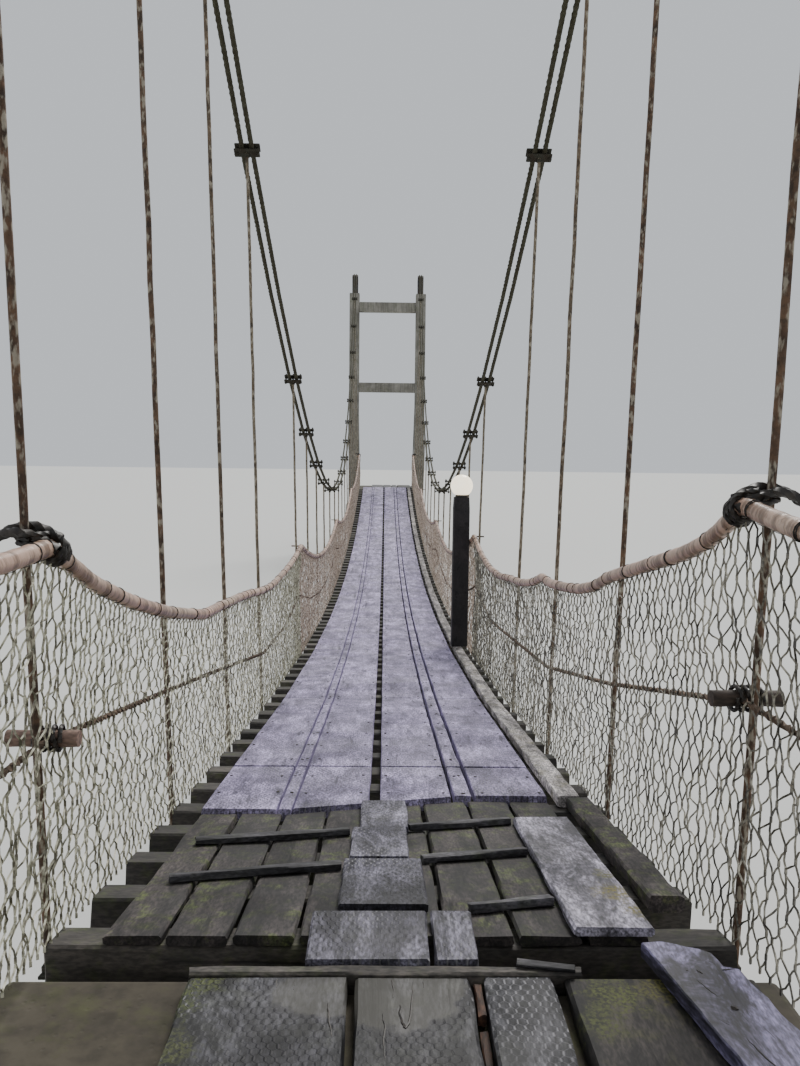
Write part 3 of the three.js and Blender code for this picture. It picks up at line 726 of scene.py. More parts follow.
def torn_netting(make, line, color, centre, reach):
    """Takes the netting off a round bare place, which has a dark frayed rim and smooth olive wood inside."""
    squeezed = make.vector("DIVIDE", make.vector("SUBTRACT", make.coords, centre), reach)
    frayed = make.calc("MULTIPLY_ADD", make.cloud(26.0), 0.55, make.vector("LENGTH", squeezed))
    bare = make.span(frayed, 1.32, 1.18)
    rim = make.calc("SUBTRACT", make.span(frayed, 1.46, 1.26), bare)
    dark = make.calc("MULTIPLY", rim, make.ramp(make.cloud(90.0, 3.0), (0.38, 0.2), (0.55, 1)))
    left = make.calc("MULTIPLY", line, make.calc("SUBTRACT", 1.0, bare))
    color = make.mix(bare, color, make.mix(0.35, color, linear((88, 85, 76))))
    return left, make.mix(dark, color, linear((34, 32, 36)))


def metal(name, base, rust, growth, rust_amount, growth_amount, metallic=0.4, scale=30.0):
    make = Finish(name, metallic)
    weather = make.weather(base, rust, growth, rust_amount, growth_amount, scale)
    make.rough(weather["Height"], 0.45, 0.85)
    return make.finish(weather["Color"], make.bump(weather["Height"], 0.0006))


def rod_finish():
    """Galvanised rod gone brown, with pale flakes. Rods with a low tint are the brown ones."""
    make = Finish("Hanger rods", 0.25)
    rusty = make.weather((118, 90, 70), (62, 46, 38), (52, 46, 40), 0.9, 0.6, 14.0)
    plain = make.weather((150, 140, 120), (96, 84, 66), (74, 72, 50), 0.8, 0.5, 16.0)
    body = make.mix(make.tint(), rusty["Color"], plain["Color"])
    flakes = make.ramp(make.cloud(70.0, 4.0, make.turned(make.coords, (1, 1, 0.4))), (0.52, 0), (0.62, 0.85))
    scabs = make.ramp(make.cloud(46.0, 4.0, make.turned(make.coords, (1, 1, 0.5))), (0.54, 0), (0.64, 0.7))
    color = make.mix(flakes, make.mix(scabs, body, linear((52, 44, 38))), linear((172, 164, 148)))
    make.rough(rusty["Height"], 0.45, 0.8)
    return make.finish(color, make.bump(flakes, 0.0006, 0.8, make.bump(rusty["Height"], 0.0008)))


def twine(name, base, stain, growth, stain_amount, growth_amount, scale=9.0):
    make = Finish(name)
    color = make.weather(base, stain, growth, stain_amount, growth_amount, scale)["Color"]
    frayed = make.ramp(make.cloud(55.0, 3.0), (0.4, 0), (0.56, 1))
    make.shader["Roughness"].default_value = 0.5
    return make.finish(make.mix(frayed, make.times(color, linear((150, 146, 140))), color))


def concrete(name, base, stain, growth):
    make = Finish(name)
    weather = make.weather(base, stain, growth, 0.7, 0.35, 1.7)
    drips = make.cloud(5.0, 5.0, make.turned(make.coords, (4, 4, 0.5)))
    color = make.mix(0.8, weather["Color"], make.ramp(drips, (0.4, 1), (0.65, 0.55)), "MULTIPLY")
    pores = make.node("ShaderNodeTexVoronoi", [("Vector", make.coords), ("Scale", 38.0)]).outputs["Distance"]
    make.rough(weather["Height"], 0.7, 0.95)
    pits = make.ramp(pores, (0.05, 0), (0.22, 1))
    return make.finish(color, make.bump(pits, 0.002, 0.5, make.bump(weather["Height"], 0.004)))


def sleeve():
    """Beige plastic sleeve with a wet sheen, brown grime in its creases and pink worn stretches."""
    make = Finish("Beige sleeve")
    weather = make.weather((206, 184, 162), (132, 108, 86), (84, 70, 50), 0.8, 0.7, 7.0)
    color = make.mix(make.tint(), weather["Color"], linear((206, 168, 150)))
    creases = make.ramp(make.cloud(17.0, 5.0, make.turned(make.coords, (0.5, 2.2, 0.5))), (0.4, 1), (0.53, 0))
    color = make.mix(make.calc("MULTIPLY", creases, 0.8), color, linear((104, 80, 60)))
    make.rough(weather["Height"], 0.1, 0.36)
    folds = make.cloud(60.0, 3.0, make.turned(make.coords, (0.4, 1.6, 0.4)))
    return make.finish(color, make.bump(folds, 0.003, 0.7, make.bump(creases, 0.0015)))


def opal():
    make = Finish("Opal globe")
    make.shader["Roughness"].default_value = 0.2
    make.shader["Emission Strength"].default_value = bpy.context.scene.bridge_lamp.glow
    warm = make.mix(make.cloud(14.0), linear((255, 246, 226)), linear((255, 236, 204)))
    make.tree.links.new(warm, make.shader["Emission Color"])
    return make.finish(warm)


# Moss as centre, radius and colour
SIDE_MOSS = (((0.590, -11.84, 1.882), 0.07, (150, 138, 48)), ((0.600, -11.97, 1.898), 0.055, (138, 128, 50)),
             ((0.585, -11.70, 1.86), 0.04, (118, 116, 56)))
LANDING_MOSS = (((-0.44, -12.30, 1.885), 0.05, (84, 92, 48)), ((-0.43, -12.44, 1.885), 0.06, (84, 88, 50)),
                ((-0.40, -12.23, 1.885), 0.045, (92, 100, 50)))
PLANK_MOSS = (((0.46, -12.27, 1.885), 0.07, (98, 104, 44)), ((0.41, -12.36, 1.885), 0.05, (86, 92, 42)),
             ((0.55, -12.24, 1.885), 0.05, (112, 108, 46)))
FINISHES = {}


def finishes():
    """Every material of the bridge, made once. Colours are base, stain and growth, with the last two's amounts."""
    if FINISHES:
        return FINISHES
    landing = {"gloss": 0.35, "printed": 0.9, "contrast": 1.0}
    FINISHES.update({
        # The running boards' violet base colour is partly their own weathered tone and partly painted reflection of the
        # sky in the wet wood.
        "running": timber("Running boards", (184, 172, 210), (116, 108, 134), (92, 96, 66), 0.8, 0.12, printed=0.9,
                          low=0.3, high=0.6, contrast=1.0, soaked=0.45, sky_sheen=0.22),
        "kerb": timber("Kerb boards", (232, 224, 222), (156, 148, 144), (126, 122, 54), 0.7, 0.5, contrast=0.9,
                       soaked=0.6),
        "worn": timber("Repair boards", (142, 138, 156), (70, 67, 74), (72, 80, 40), 0.8, 0.25, gloss=0.35,
                       printed=0.8, low=0.25, high=0.6, contrast=1.0, soaked=0.75),
        "side": timber("Side board", (206, 199, 218), (84, 80, 88), (70, 76, 40), 0.8, 0.25, low=0.15, high=0.5,
                       contrast=1.0, patches=SIDE_MOSS, soaked=0.8),
        "old": timber("Old boards", (80, 72, 70), (44, 38, 36), (88, 100, 44), 0.8, 0.75, contrast=0.9, soaked=0.7),
        "cleat": timber("Cleats", (96, 93, 98), (46, 44, 46), (76, 86, 44), 0.8, 0.3, across=True, contrast=0.9,
                        soaked=0.6),
        "landing": timber("Landing boards", (104, 103, 108), (54, 52, 56), (70, 76, 42), 0.8, 0.25, low=0.28,
                          high=0.62, patches=LANDING_MOSS, soaked=0.7, **landing),
        "left_board": timber("Left landing board", (92, 91, 97), (50, 48, 52), (70, 76, 42), 0.8, 0.25, low=0.28,
                             high=0.62, patches=LANDING_MOSS, soaked=0.9,
                             torn=((-0.13, -12.27, 1.885), (0.13, 0.075, 0.3)), **landing),
        "middle_board": timber("Middle landing board", (86, 85, 88), (48, 46, 49), (70, 76, 42), 0.8, 0.25,
                               low=0.25, high=0.6, soaked=0.9, torn=((0.0, -12.23, 1.885), (0.15, 0.165, 0.3)),
                               **landing),
        "mossy": timber("Mossy boards", (74, 66, 62), (42, 38, 38), (84, 84, 48), 0.8, 0.5, contrast=1.0,
                        patches=PLANK_MOSS, soaked=0.9),
        "rotten": timber("Rotten strip", (104, 68, 46), (48, 36, 30), (60, 56, 40), 0.9, 0.3, contrast=1.0),
        "batten": timber("Batten", (92, 86, 80), (52, 47, 44), (78, 90, 44), 0.8, 0.4, across=True, contrast=0.9),
        "loose": timber("Loose board", (168, 160, 204), (92, 87, 110), (64, 66, 44), 0.8, 0.12, low=0.25, high=0.55,
                        contrast=0.85, soaked=0.95),
        "sleeper": timber("Sleepers", (86, 80, 74), (50, 46, 44), (74, 84, 38), 0.8, 0.5, across=True),
        "bearer": timber("Bearers", (84, 78, 70), (48, 44, 40), (66, 74, 36), 0.8, 0.4),
        "post": timber("Lamp post timber", (46, 41, 43), (26, 24, 26), (50, 54, 40), 0.7, 0.1),
        "rope": metal("Wire rope", (84, 82, 66), (54, 46, 34), (52, 60, 32), 0.7, 0.5, 0.5),
        "rod": rod_finish(),
        "clamp": metal("Clamps", (70, 70, 62), (60, 44, 32), (48, 56, 34), 0.6, 0.4, 0.5, 24.0),
        "rust": metal("Rusty rope", (124, 104, 88), (50, 41, 35), (80, 78, 62), 0.9, 0.5, 0.3, 60.0),
        "tie": twine("Dark tie rope", (54, 46, 40), (30, 27, 25), (66, 62, 48), 0.6, 0.3, 30.0),
        "dark_log": timber("Dark round timber", (92, 76, 66), (50, 42, 38), (70, 72, 44), 0.8, 0.3, across=True),
        "log": timber("Round timber", (168, 138, 124), (104, 80, 68), (70, 72, 44), 0.7, 0.3, across=True),
        "net_left": twine("Left twine", (232, 228, 206), (128, 124, 98), (92, 100, 54), 0.7, 0.55, 12.0),
        "net_right": twine("Right twine", (196, 190, 172), (66, 60, 50), (46, 46, 36), 0.95, 0.7, 12.0),
        "net_far": twine("Far twine", (232, 214, 198), (158, 138, 122), (112, 104, 76), 0.55, 0.35),
        "concrete": concrete("Weathered concrete", (150, 147, 138), (104, 101, 94), (84, 92, 58)),
        "landing_top": concrete("Mossy landing", (84, 78, 66), (52, 47, 42), (84, 92, 48)),
        "casting": metal("Painted casting", (76, 78, 80), (84, 58, 42), (60, 66, 44), 0.5, 0.3, 0.6, 8.0),
        "sleeve": sleeve(),
        "globe": opal(),
    })
    return FINISHES


# Settings


def metres(name, default, description):
    return FloatProperty(name=name, description=description, default=default, unit="LENGTH")


class RopeSettings(PropertyGroup):
    radius: metres("Rope radius", 0.0165, "Radius of a main rope")
    lay: metres("Lay", 0.26, "Length of one turn of the strands")
    strands: IntProperty(name="Strands", description="Strands of a main rope", default=6)
    groove: FloatProperty(name="Groove", description="Depth of the strands, as inner over outer radius", default=0.84)


class DeckSettings(PropertyGroup):
    wear: metres("Wear", 0.004, "Depth of the wear on board edges")
    nail: metres("Nail head", 0.006, "Radius of a nail head")
    sleepers_per_bay: IntProperty(name="Sleepers per bay", description="Sleepers between two hangers", default=4)


class HangerSettings(PropertyGroup):
    rod: metres("Rod radius", 0.0098, "Radius of a hanger rod")
    nut: metres("Nut radius", 0.0128, "Radius of a clamp nut over its corners")
    bolt: metres("Bolt radius", 0.0062, "Radius of a clamp bolt")


class RailSettings(PropertyGroup):
    tie: metres("Tie", 0.0019, "Radius of the twine round the rail")
    lacing: metres("Lacing", 0.001, "Radius of the thread that holds the net")
    swing: FloatProperty(name="Swing", description="How far the lacing swings round the rail", default=0.4,
                         unit="ROTATION")
    sleeve: metres("Sleeve", 0.07, "Length of one rib of the sleeve")


class NetSettings(PropertyGroup):
    bar: metres("Bar", 0.0465, "Twine from one knot to the next")
    rows: IntProperty(name="Rows", description="Half meshes from the deck to the rail", default=22)
    twine: metres("Twine radius", 0.0027, "Radius of the twine")
    knot: metres("Knot length", 0.012, "Length of an upright knot")
    wide: metres("Wide", 0.0075, "Longer twine in the right net by the landing")
    shear: FloatProperty(name="Shear", description="How far the left net leans along the bridge, per metre of height",
                         default=0.36)
    slack: metres("Slack", 0.028, "How far the net wanders from its plane")


class LampSettings(PropertyGroup):
    glow: FloatProperty(name="Glow", description="Strength of the light from the globe", default=1.6, min=0)


class MasonrySettings(PropertyGroup):
    edge: metres("Edge", 0.018, "Width of the worn edges of the concrete")


class StageSettings(PropertyGroup):
    floor: FloatVectorProperty(name="Floor", description="Colour of the floor", subtype="COLOR",
                               default=(0.62, 0.62, 0.6))
    sky: FloatProperty(name="Sky", description="Strength of the even light", default=0.75)
    sun: FloatProperty(name="Sun", description="Strength of the soft key light", default=3.0)


# Main ropes and hangers

ROPE_SMOOTH = 50  # degrees
ROPE_OFFSET = 0.03
ROD_NUT = 0.017
BOLTS_X = (-0.064, 0.0, 0.064)
FOOT_X, FOOT_Y = (0.73, 0.831), 0.03
SADDLE_RADIUS = 0.35
BEND = SADDLE_RADIUS + GAP + ROPE_FLAT
STAY_ANGLE = math.radians(54)
STAY_FOOT = 0.76


def span_angle():
    """Slope of the main ropes where they leave the saddle."""
    angle = math.atan(cable_slope(HALF_SPAN))
    for _ in range(20):
        angle = math.atan(cable_slope(HALF_SPAN - BEND * math.sin(angle)))
    return angle


SPAN_ANGLE = span_angle()
SADDLE_Z = cable_z(HALF_SPAN - BEND * math.sin(SPAN_ANGLE)) - BEND * math.cos(SPAN_ANGLE)
SADDLE_X = cable_x(SADDLE_Z + BEND)


def main_rope_line(side, offset, steps=6):
    """From one anchor block over both saddles to the other, as points."""
    far = []
    for i in range(steps + 1):
        turn = -SPAN_ANGLE + (SPAN_ANGLE + STAY_ANGLE) * i / steps
        far.append((HALF_SPAN + BEND * math.sin(turn), SADDLE_Z + BEND * math.cos(turn)))
    far.append((far[-1][0] + (far[-1][1] - STAY_FOOT) / math.tan(STAY_ANGLE), STAY_FOOT))
    near = [(-y, z) for y, z in far][::-1]
    span = [(station_y(k), cable_z(station_y(k))) for k in range(LAST + 1)]
    line = []
    for y, z in near + span + far:
        x = SADDLE_X if abs(y) > HALF_SPAN - BEND else cable_x(z)
        line.append((side * (x + offset), y, z))
    return line


class BuildMainRopes(Operator):
    """Make the four main ropes with their laid strands"""
    bl_idname = "bridge.main_ropes"
    bl_label = "Main ropes"

    def execute(self, context):
        settings = context.scene.bridge_ropes
        tree = laid_rope()
        values = {"Radius": settings.radius, "Lay": settings.lay, "Step": 0.036, "Strands": settings.strands,
                  "Groove": settings.groove}
        for name, side in SIDES:
            for place, offset in (("inner", -ROPE_OFFSET), ("outer", ROPE_OFFSET)):
                node = f"{name}_{place}_main_rope"
                grown(node + "_strands", line_mesh([main_rope_line(side, offset)]), tree, values, "rope",
                      [node], ROPE_SMOOTH)
        return {"FINISHED"}


class BuildHangers(Operator):
    """Make the hanger rods with their clamps, bolts and feet"""
    bl_idname = "bridge.hangers"
    bl_label = "Hangers"

    def execute(self, context):
        settings = context.scene.bridge_hangers
        tree = heads()
        for name, side in SIDES:
            rods, clamps, nuts, bolts = Shell(), Shell(), Spots(), Spots()
            for k in range(LAST + 1):
                if k != MISSING_HANGER:
                    self.hanger(side, k, settings.rod, rods, clamps, nuts, bolts)
            piece(f"{name}_hanger_rods", rods.mesh("rods", 40), "rod", SECTIONS)
            piece(f"{name}_clamps", clamps.mesh("clamps"), "clamp", SECTIONS)
            for label, spots, radius, depth, sides in (("nuts", nuts, settings.nut, NUT, 6),
                                                       ("bolts", bolts, settings.bolt, BOLT_LENGTH, 8)):
                grown(f"{name}_{label}", spots.mesh(), tree, {"Radius": radius, "Depth": depth, "Sides": sides},
                      "clamp", SECTIONS)
        return {"FINISHED"}

    def hanger(self, side, k, radius, rods, clamps, nuts, bolts, count=24):
        seat, bottom, top = rod_line(side, k)
        rng = random.Random(k * 2 + side)
        path = []
        for i in range(count + 1):
            p = bottom.lerp(top, i / count)
            sway = math.sin(math.pi * i / count) * 0.002
            path.append((p.x + sway * rng.uniform(-1, 1), p.y + sway * rng.uniform(-1, 1), p.z))
        rods.add(*tube(path, radius, 10), tint=min(max((k - 0.5) / 3, 0.1), 0.9) - 0.1 * rng.random())
        way = (top - bottom).normalized()
        for at, height in ((top - way * 0.028, 0.018), (bottom + way * 0.006, 0.016)):
            clamps.add(*prism(at, at + way * height, ROD_NUT, 6, 0.002), tint=0.3)
        over, under = CLAMP_HIGH + CLAMP_PLATE, CLAMP_LOW - CLAMP_PLATE
        for z0, z1 in ((under, CLAMP_LOW), (CLAMP_HIGH, over)):
            form = box_form((-CLAMP_X, -CLAMP_Y, z0), (CLAMP_X, CLAMP_Y, z1), seat, 0.003)
            clamps.add(*form, tint=rng.random())
        for x in BOLTS_X:
            bars = [(bolts, over + BOLT_END - BOLT_LENGTH, over + BOLT_END), (nuts, over, over + NUT)]
            if x:
                bars.append((nuts, under - NUT, under))
            for spots, z0, z1 in bars:
                low, high = seat @ Vector((x, 0, z0)), seat @ Vector((x, 0, z1))
                spots.add((low + high) / 2, high - low)
        place = section_at(k)[2]
        along = (place.inverted() @ bottom).y
        x0, x1 = sorted(side * x for x in FOOT_X)
        low, high = (x0, along - FOOT_Y, UNDERSIDE - FOOT_PLATE), (x1, along + FOOT_Y, UNDERSIDE)
        clamps.add(*box_form(low, high, place, 0.001), tint=0.4)


# Deck. Boards of a section are given as their two sides, in metres from the middle of the bridge.

BEARERS = ((-0.68, -0.6), (0.6, 0.68))
RUNNING_BOARDS = ((-0.667, -0.405), (-0.398, -0.352), (-0.345, -0.078), (-0.038, 0.227), (0.240, 0.304), (0.318, 0.590))
KERB = (0.628, 0.716)
HALF_DECK, OVERHANG, SLEEPER_HALF = 0.8, 0.06, 0.06
HALF_JOINT, END_GAP = 0.003, 0.009
SHORT_ROW = 0.472  # where the first running boards after the near bay end
SHORT_ENDS = ((-0.19, 0), (-0.19, 0), (-0.081, 0.302), (-0.081, 0.302), (0.003, 0), (0.003, 0))

# Near bay, from the first hanger. Thin old boards lie under short repair boards and cleats.
OLD_BOARDS = ((-0.667, -0.534), (-0.526, -0.380), (-0.371, -0.228), (-0.220, -0.078), (-0.038, 0.112), (0.121, 0.279),
              (0.287, 0.436), (0.445, 0.590))
OLD_ENDS = [SHORT_ENDS[i] for i in (0, 0, 2, 2, 3, 3, 5, 5)]
OLD_TOP, REPAIR_TOP, CLEAT_TOP = -0.020, 0.005, 0.003
OVER_OLD = OLD_TOP + 0.0005
REPAIR_BOARDS = ((-0.139, 0.085, 0.076, 0.434), (-0.128, 0.050, 0.457, 0.767), (-0.105, 0.057, 0.771, 1.113))
SIDE_BOARD = (0.411, 0.602, -0.070, 0.895)
NEAR_KERB = (0.652, 0.745, 0.15, 1.2)
CLEATS = ((0.190, 0.405, 0.020), (-0.600, -0.145, 0.433), (0.091, 0.405, 0.433), (-0.600, -0.134, 0.774),
          (0.062, 0.405, 0.774))
CLEAT_TURN, CLEAT_WIDTH = math.atan(0.25), 0.034
FLAPS = ((-0.195, 0.077), (0.085, 0.184))


class BuildDeck(Operator):
    """Make the sleepers, bearers and boards of every deck section"""
    bl_idname = "bridge.deck"
    bl_label = "Deck timber"

    def execute(self, context):
        settings = context.scene.bridge_deck
        sleepers, bearers, running, kerbs = (Shell() for _ in range(4))
        nails = Spots()
        wear = settings.wear
        rng = random.Random(11)
        for index in range(len(SECTIONS)):
            start, end, place, length = section(index)
            count = (end - start) * settings.sleepers_per_bay
            is_last = index == len(SECTIONS) - 1
            for i in range(count + is_last):
                y = length * i / count
                top = -PLANK - (2 * GAP if i == 0 and index else 0)
                low = (-HALF_DECK + rng.uniform(0, 0.012), y - SLEEPER_HALF, UNDERSIDE)
                high = (HALF_DECK - rng.uniform(0, 0.012), y + SLEEPER_HALF, top)
                sleepers.lay(low, high, place, rng.random(), wear * 1.5, 0.007, 0.1, axis=0, tint=rng.random())
            stop = length + OVERHANG if is_last else length - SLEEPER_HALF - HALF_JOINT
            for x0, x1 in BEARERS:
                low, high = (x0, -SLEEPER_HALF, UNDERSIDE - BEARER), (x1, stop, UNDERSIDE)
                bearers.lay(low, high, place, rng.random(), wear, 0.005, 0.2, tint=rng.random())
            if index == 0:
                continue
            stop = length + OVERHANG if is_last else length - HALF_JOINT
            for (x0, x1), (near, slant) in zip(RUNNING_BOARDS, SHORT_ENDS):
                parts = [(HALF_JOINT, stop, 0)]
                if index == 1:
                    parts = [(near, SHORT_ROW - END_GAP, slant), (SHORT_ROW + END_GAP, stop, 0)]
                for y0, y1, cut in parts:
                    running.lay((x0, y0, -PLANK), (x1, y1, 0), place, rng.random(), wear, 0.004, 0.1, slant=(cut, 0),
                                tint=rng.uniform(0.3, 0.8) + min(index, 6) * 0.1)
                for i in range(count + 1):
                    y = min(max(length * i / count, 0.035), stop - 0.035)
                    for x in {x0 + 0.028, x1 - 0.028}:
                        at = Vector((x + rng.uniform(-0.008, 0.008), y + rng.uniform(-0.012, 0.012), -0.0012))
                        nails.add(place @ at, place.to_3x3() @ UP)
            kerbs.lay((KERB[0], HALF_JOINT, -PLANK), (KERB[1], stop, 0), place, rng.random(), wear * 1.5, 0.006, 0.08,
                      tint=rng.uniform(0.4, 0.8))
        for name, shell, look in (("sleepers", sleepers, "sleeper"), ("bearers", bearers, "bearer"),
                                  ("running_boards", running, "running"), ("kerb_boards", kerbs, "kerb")):
            wooden(name, shell, look, SECTIONS)
        grown("nail_heads", nails.mesh(), heads(), {"Radius": settings.nail, "Depth": 0.005, "Sides": 6}, "clamp",
              SECTIONS)
        return {"FINISHED"}


class BuildNearBay(Operator):
    """Make the old boards, repair boards and cleats of the near bay"""
    bl_idname = "bridge.near_bay"
    bl_label = "Near bay"

    def execute(self, context):
        wear = context.scene.bridge_deck.wear
        _, _, place, length = section(0)
        level = Matrix.Translation(place.translation)
        old, repair, side, cleats = (Shell() for _ in range(4))
        rng = random.Random(23)
        for (x0, x1), (near, slant) in zip(OLD_BOARDS, OLD_ENDS):
            old.lay((x0, -SLEEPER_HALF, -PLANK), (x1, length + near - END_GAP, OLD_TOP), place, rng.random(),
                    wear * 2, 0.006, 0.05, slant=(0, slant), tint=rng.uniform(0.1, 0.7))
        for (x0, x1, y0, y1), tint in zip(REPAIR_BOARDS, (0.0, 0.5, 1.0)):
            repair.lay((x0, y0, OVER_OLD), (x1, y1, REPAIR_TOP), place, rng.random(), wear * 1.5, 0.005, 0.04,
                       tint=tint)
        x0, x1, y0, y1 = NEAR_KERB
        old.lay((x0, y0, -PLANK), (x1, y1, 0), place, 0.31, wear * 2, 0.007, 0.06, tint=0.9)
        for x0, x1 in FLAPS:
            repair.lay((x0, -0.178, -0.022), (x1, 0.022, 0.003), level, rng.random(), wear * 1.5, 0.005, 0.03,
                       tint=rng.uniform(0.5, 0.65))
        x0, x1, y0, y1 = SIDE_BOARD
        side.lay((x0, y0, OVER_OLD), (x1, y1, REPAIR_TOP), place, rng.random(), wear * 1.6, 0.006, 0.04, tint=0.5)
        stretch = 1 / math.cos(CLEAT_TURN)
        for x0, x1, y in CLEATS:
            turned = place @ Matrix.Translation((0, y, 0)) @ Matrix.Rotation(CLEAT_TURN, 4, "Z")
            cleats.lay((x0 * stretch, 0, OVER_OLD), (x1 * stretch, CLEAT_WIDTH, CLEAT_TOP), turned, rng.random(),
                       wear * 1.5, 0.004, 0.04, axis=0, tint=rng.uniform(0.3, 0.6))
        for name, shell, look in (("old_boards", old, "old"), ("repair_boards", repair, "worn"),
                                  ("side_board", side, "side"), ("cleats", cleats, "cleat")):
            wooden(name, shell, look, SECTIONS[:1])
        return {"FINISHED"}


# Landings. Their boards run from LANDING_START to LANDING_END, and are given as two sides, height, wear and so on.

LANDING_START, LANDING_END, BATTEN_END = -14.5, -12.216, -12.181
LANDING_BOARDS = (
    ("left_plank", "left_board", -0.44, -0.098, 0.5, (0.007, 0.006, 0.05)),
    ("middle_plank", "middle_board", -0.085, 0.161, 0.55, (0.007, 0.006, 0.05)),
    ("right_plank", "landing", 0.186, 0.336, 0.6, (0.007, 0.006, 0.05)),
    ("mossy_plank", "mossy", 0.36, 0.77, 0.3, (0.008, 0.008, 0.06, 1, 0.006)),
)
LOOSE_OUTLINE = [(-0.075, -0.23), (-0.026, -0.229), (-0.0225, -0.2), (-0.018, -0.23), (0.07, -0.23), (0.082, -0.16),
                 (0.088, -0.1), (0.083, -0.05), (0.088, 0), (0.085, 0.05), (0.088, 0.1), (0.06, 0.115),
                 (0.062, 0.165), (0.042, 0.186), (0.018, 0.198), (-0.004, 0.214), (-0.028, 0.23), (-0.075, 0.23)]
LOOSE_THICK = 0.035

# Cracks as plan points, with half their width: in the near landing boards, and in the loose board's own frame.
CRACKS = (
    (((-0.137, -12.300), (-0.134, -12.34), (-0.128, -12.38), (-0.121, -12.416)), 0.0018),
    (((-0.25, -12.222), (-0.248, -12.26)), 0.0013),
    (((-0.21, -12.222), (-0.212, -12.27)), 0.0012),
    (((0.038, -12.232), (0.034, -12.28), (0.031, -12.33), (0.026, -12.365), (0.018, -12.38), (0.011, -12.36),
      (0.007, -12.33), (0.010, -12.30)), 0.0026),
    (((-0.008, -12.222), (-0.004, -12.25), (-0.006, -12.294)), 0.0018),
    (((-0.026, -12.335), (-0.022, -12.38), (-0.025, -12.43), (-0.021, -12.48)), 0.0020),
    (((0.060, -12.222), (0.058, -12.26)), 0.0013),
)
LOOSE_CRACKS = (
    (((-0.029, 0.182), (-0.030, 0.150)), 0.0016),
    (((-0.007, 0.110), (0.000, 0.090)), 0.0034),
    (((-0.029, 0.116), (-0.024, 0.105)), 0.0022),
    (((-0.026, 0.087), (-0.016, 0.034), (-0.012, 0.009)), 0.0022),
    (((-0.004, -0.016), (0.003, -0.030)), 0.0065),
    (((-0.051, -0.039), (-0.041, -0.060), (-0.032, -0.076)), 0.0017),
    (((-0.028, -0.095), (-0.028, -0.137), (-0.022, -0.181), (-0.0225, -0.2)), 0.0026),
    (((0.020, -0.06), (0.024, -0.10), (0.020, -0.15)), 0.0016),
    (((0.045, 0.101), (0.053, 0.100), (0.083, 0.101)), 0.0030),
    (((0.035, 0.14), (0.045, 0.12)), 0.0018),
)


def crack(line, width, place):
    """A crack drawn as a dark tube that shows at the top face of its board, widest at its middle."""
    rng = random.Random(len(line))
    path = []
    for a, b in zip(line, line[1:]):
        for i in range(4):
            at = Vector((*a, 0)).lerp(Vector((*b, 0)), i / 4)
            path.append(tuple(place @ (at + Vector((rng.uniform(-1, 1), rng.uniform(-1, 1), -1.0)) * 0.0011)))
    count = len(path)
    radii = [width * (0.35 + 0.65 * math.sin(math.pi * (i + 0.5) / count)) for i in range(count)]
    return tube(path, radii, 5)


class BuildLanding(Operator):
    """Make the boards of the landings and the loose board"""
    bl_idname = "bridge.landing"
    bl_label = "Landings"

    def execute(self, context):
        rng = random.Random(5)
        for name, end in ENDS:
            place = Matrix.Translation((0, 0, LANDING_TOP + GAP))
            if end > 0:
                place = place @ Matrix.Rotation(math.pi, 4, "Z") @ Matrix.Diagonal((-1, 1, 1, 1))
            for label, look, x0, x1, tint, form in LANDING_BOARDS:
                self.lay(name, end, label, look, (x0, LANDING_START, 0), (x1, LANDING_END, PLANK - GAP), place,
                         rng.random(), form, tint)
            self.lay(name, end, "batten", "batten", (-0.44, LANDING_END + 0.001, 0), (0.4, BATTEN_END, PLANK + 0.008),
                     place, rng.random(), (0.006, 0.005, 0.06, 0), 0.5)
        self.build_loose()
        return {"FINISHED"}

    def lay(self, name, end, label, look, low, high, place, seed, form, tint):
        shell = Shell()
        shell.lay(low, high, place, seed, *form, tint=tint)
        mesh = shell.mesh(label)
        if end > 0:
            mesh.flip_normals()
        piece(f"{name}_landing_{label}", mesh, look, [name + "_landing_boards"])

    def build_loose(self):
        """The loose board with its broken corner and cracks, and what lies about it."""
        top = LANDING_TOP + PLANK
        plain = Matrix.Translation((0, 0, top))
        place = Matrix.Translation((0.659, -12.353, top + GAP)) @ Matrix.Rotation(0.18, 4, "Z")
        loose, slat, rot, marks = (Shell() for _ in range(4))
        loose.add(*cut_board(LOOSE_OUTLINE, 0, LOOSE_THICK, place, 3, 0.003, 0.003), tint=0.6)
        wooden("loose_cracked_board", loose, "loose", ["loose_board"])
        flat = Matrix.Translation((0.325, -12.194, top + 0.009)) @ Matrix.Rotation(-0.21, 4, "Z")
        slat.lay((-0.062, -0.012, 0), (0.062, 0.012, 0.009), flat, 2, 0.003, 0.002, 0.02, axis=0, tint=0.2)
        wooden("dark_slat", slat, "cleat", ["near_landing_boards"])
        for y0, y1, z0, z1, seed, tint in ((-12.33, -12.225, -0.034, -0.008, 4, 0.6),
                                           (-12.62, -12.35, -0.040, -0.026, 6, 0.1)):
            rot.lay((0.1645, y0, z0), (0.1825, y1, z1), plain, seed, 0.007, 0.003, 0.015, tint=tint)
        wooden("rotten_strip", rot, "rotten", ["near_landing_boards"])
        for cracks, on in ((CRACKS, plain), (LOOSE_CRACKS, place @ Matrix.Translation((0, 0, LOOSE_THICK)))):
            for line, width in cracks:
                marks.add(*crack(line, width, on), tint=0.1)
        piece("cracks", marks.mesh("cracks", 60), "tie", ["near_landing_boards"])


# Nets

NET_END = HALF_SPAN - 0.16


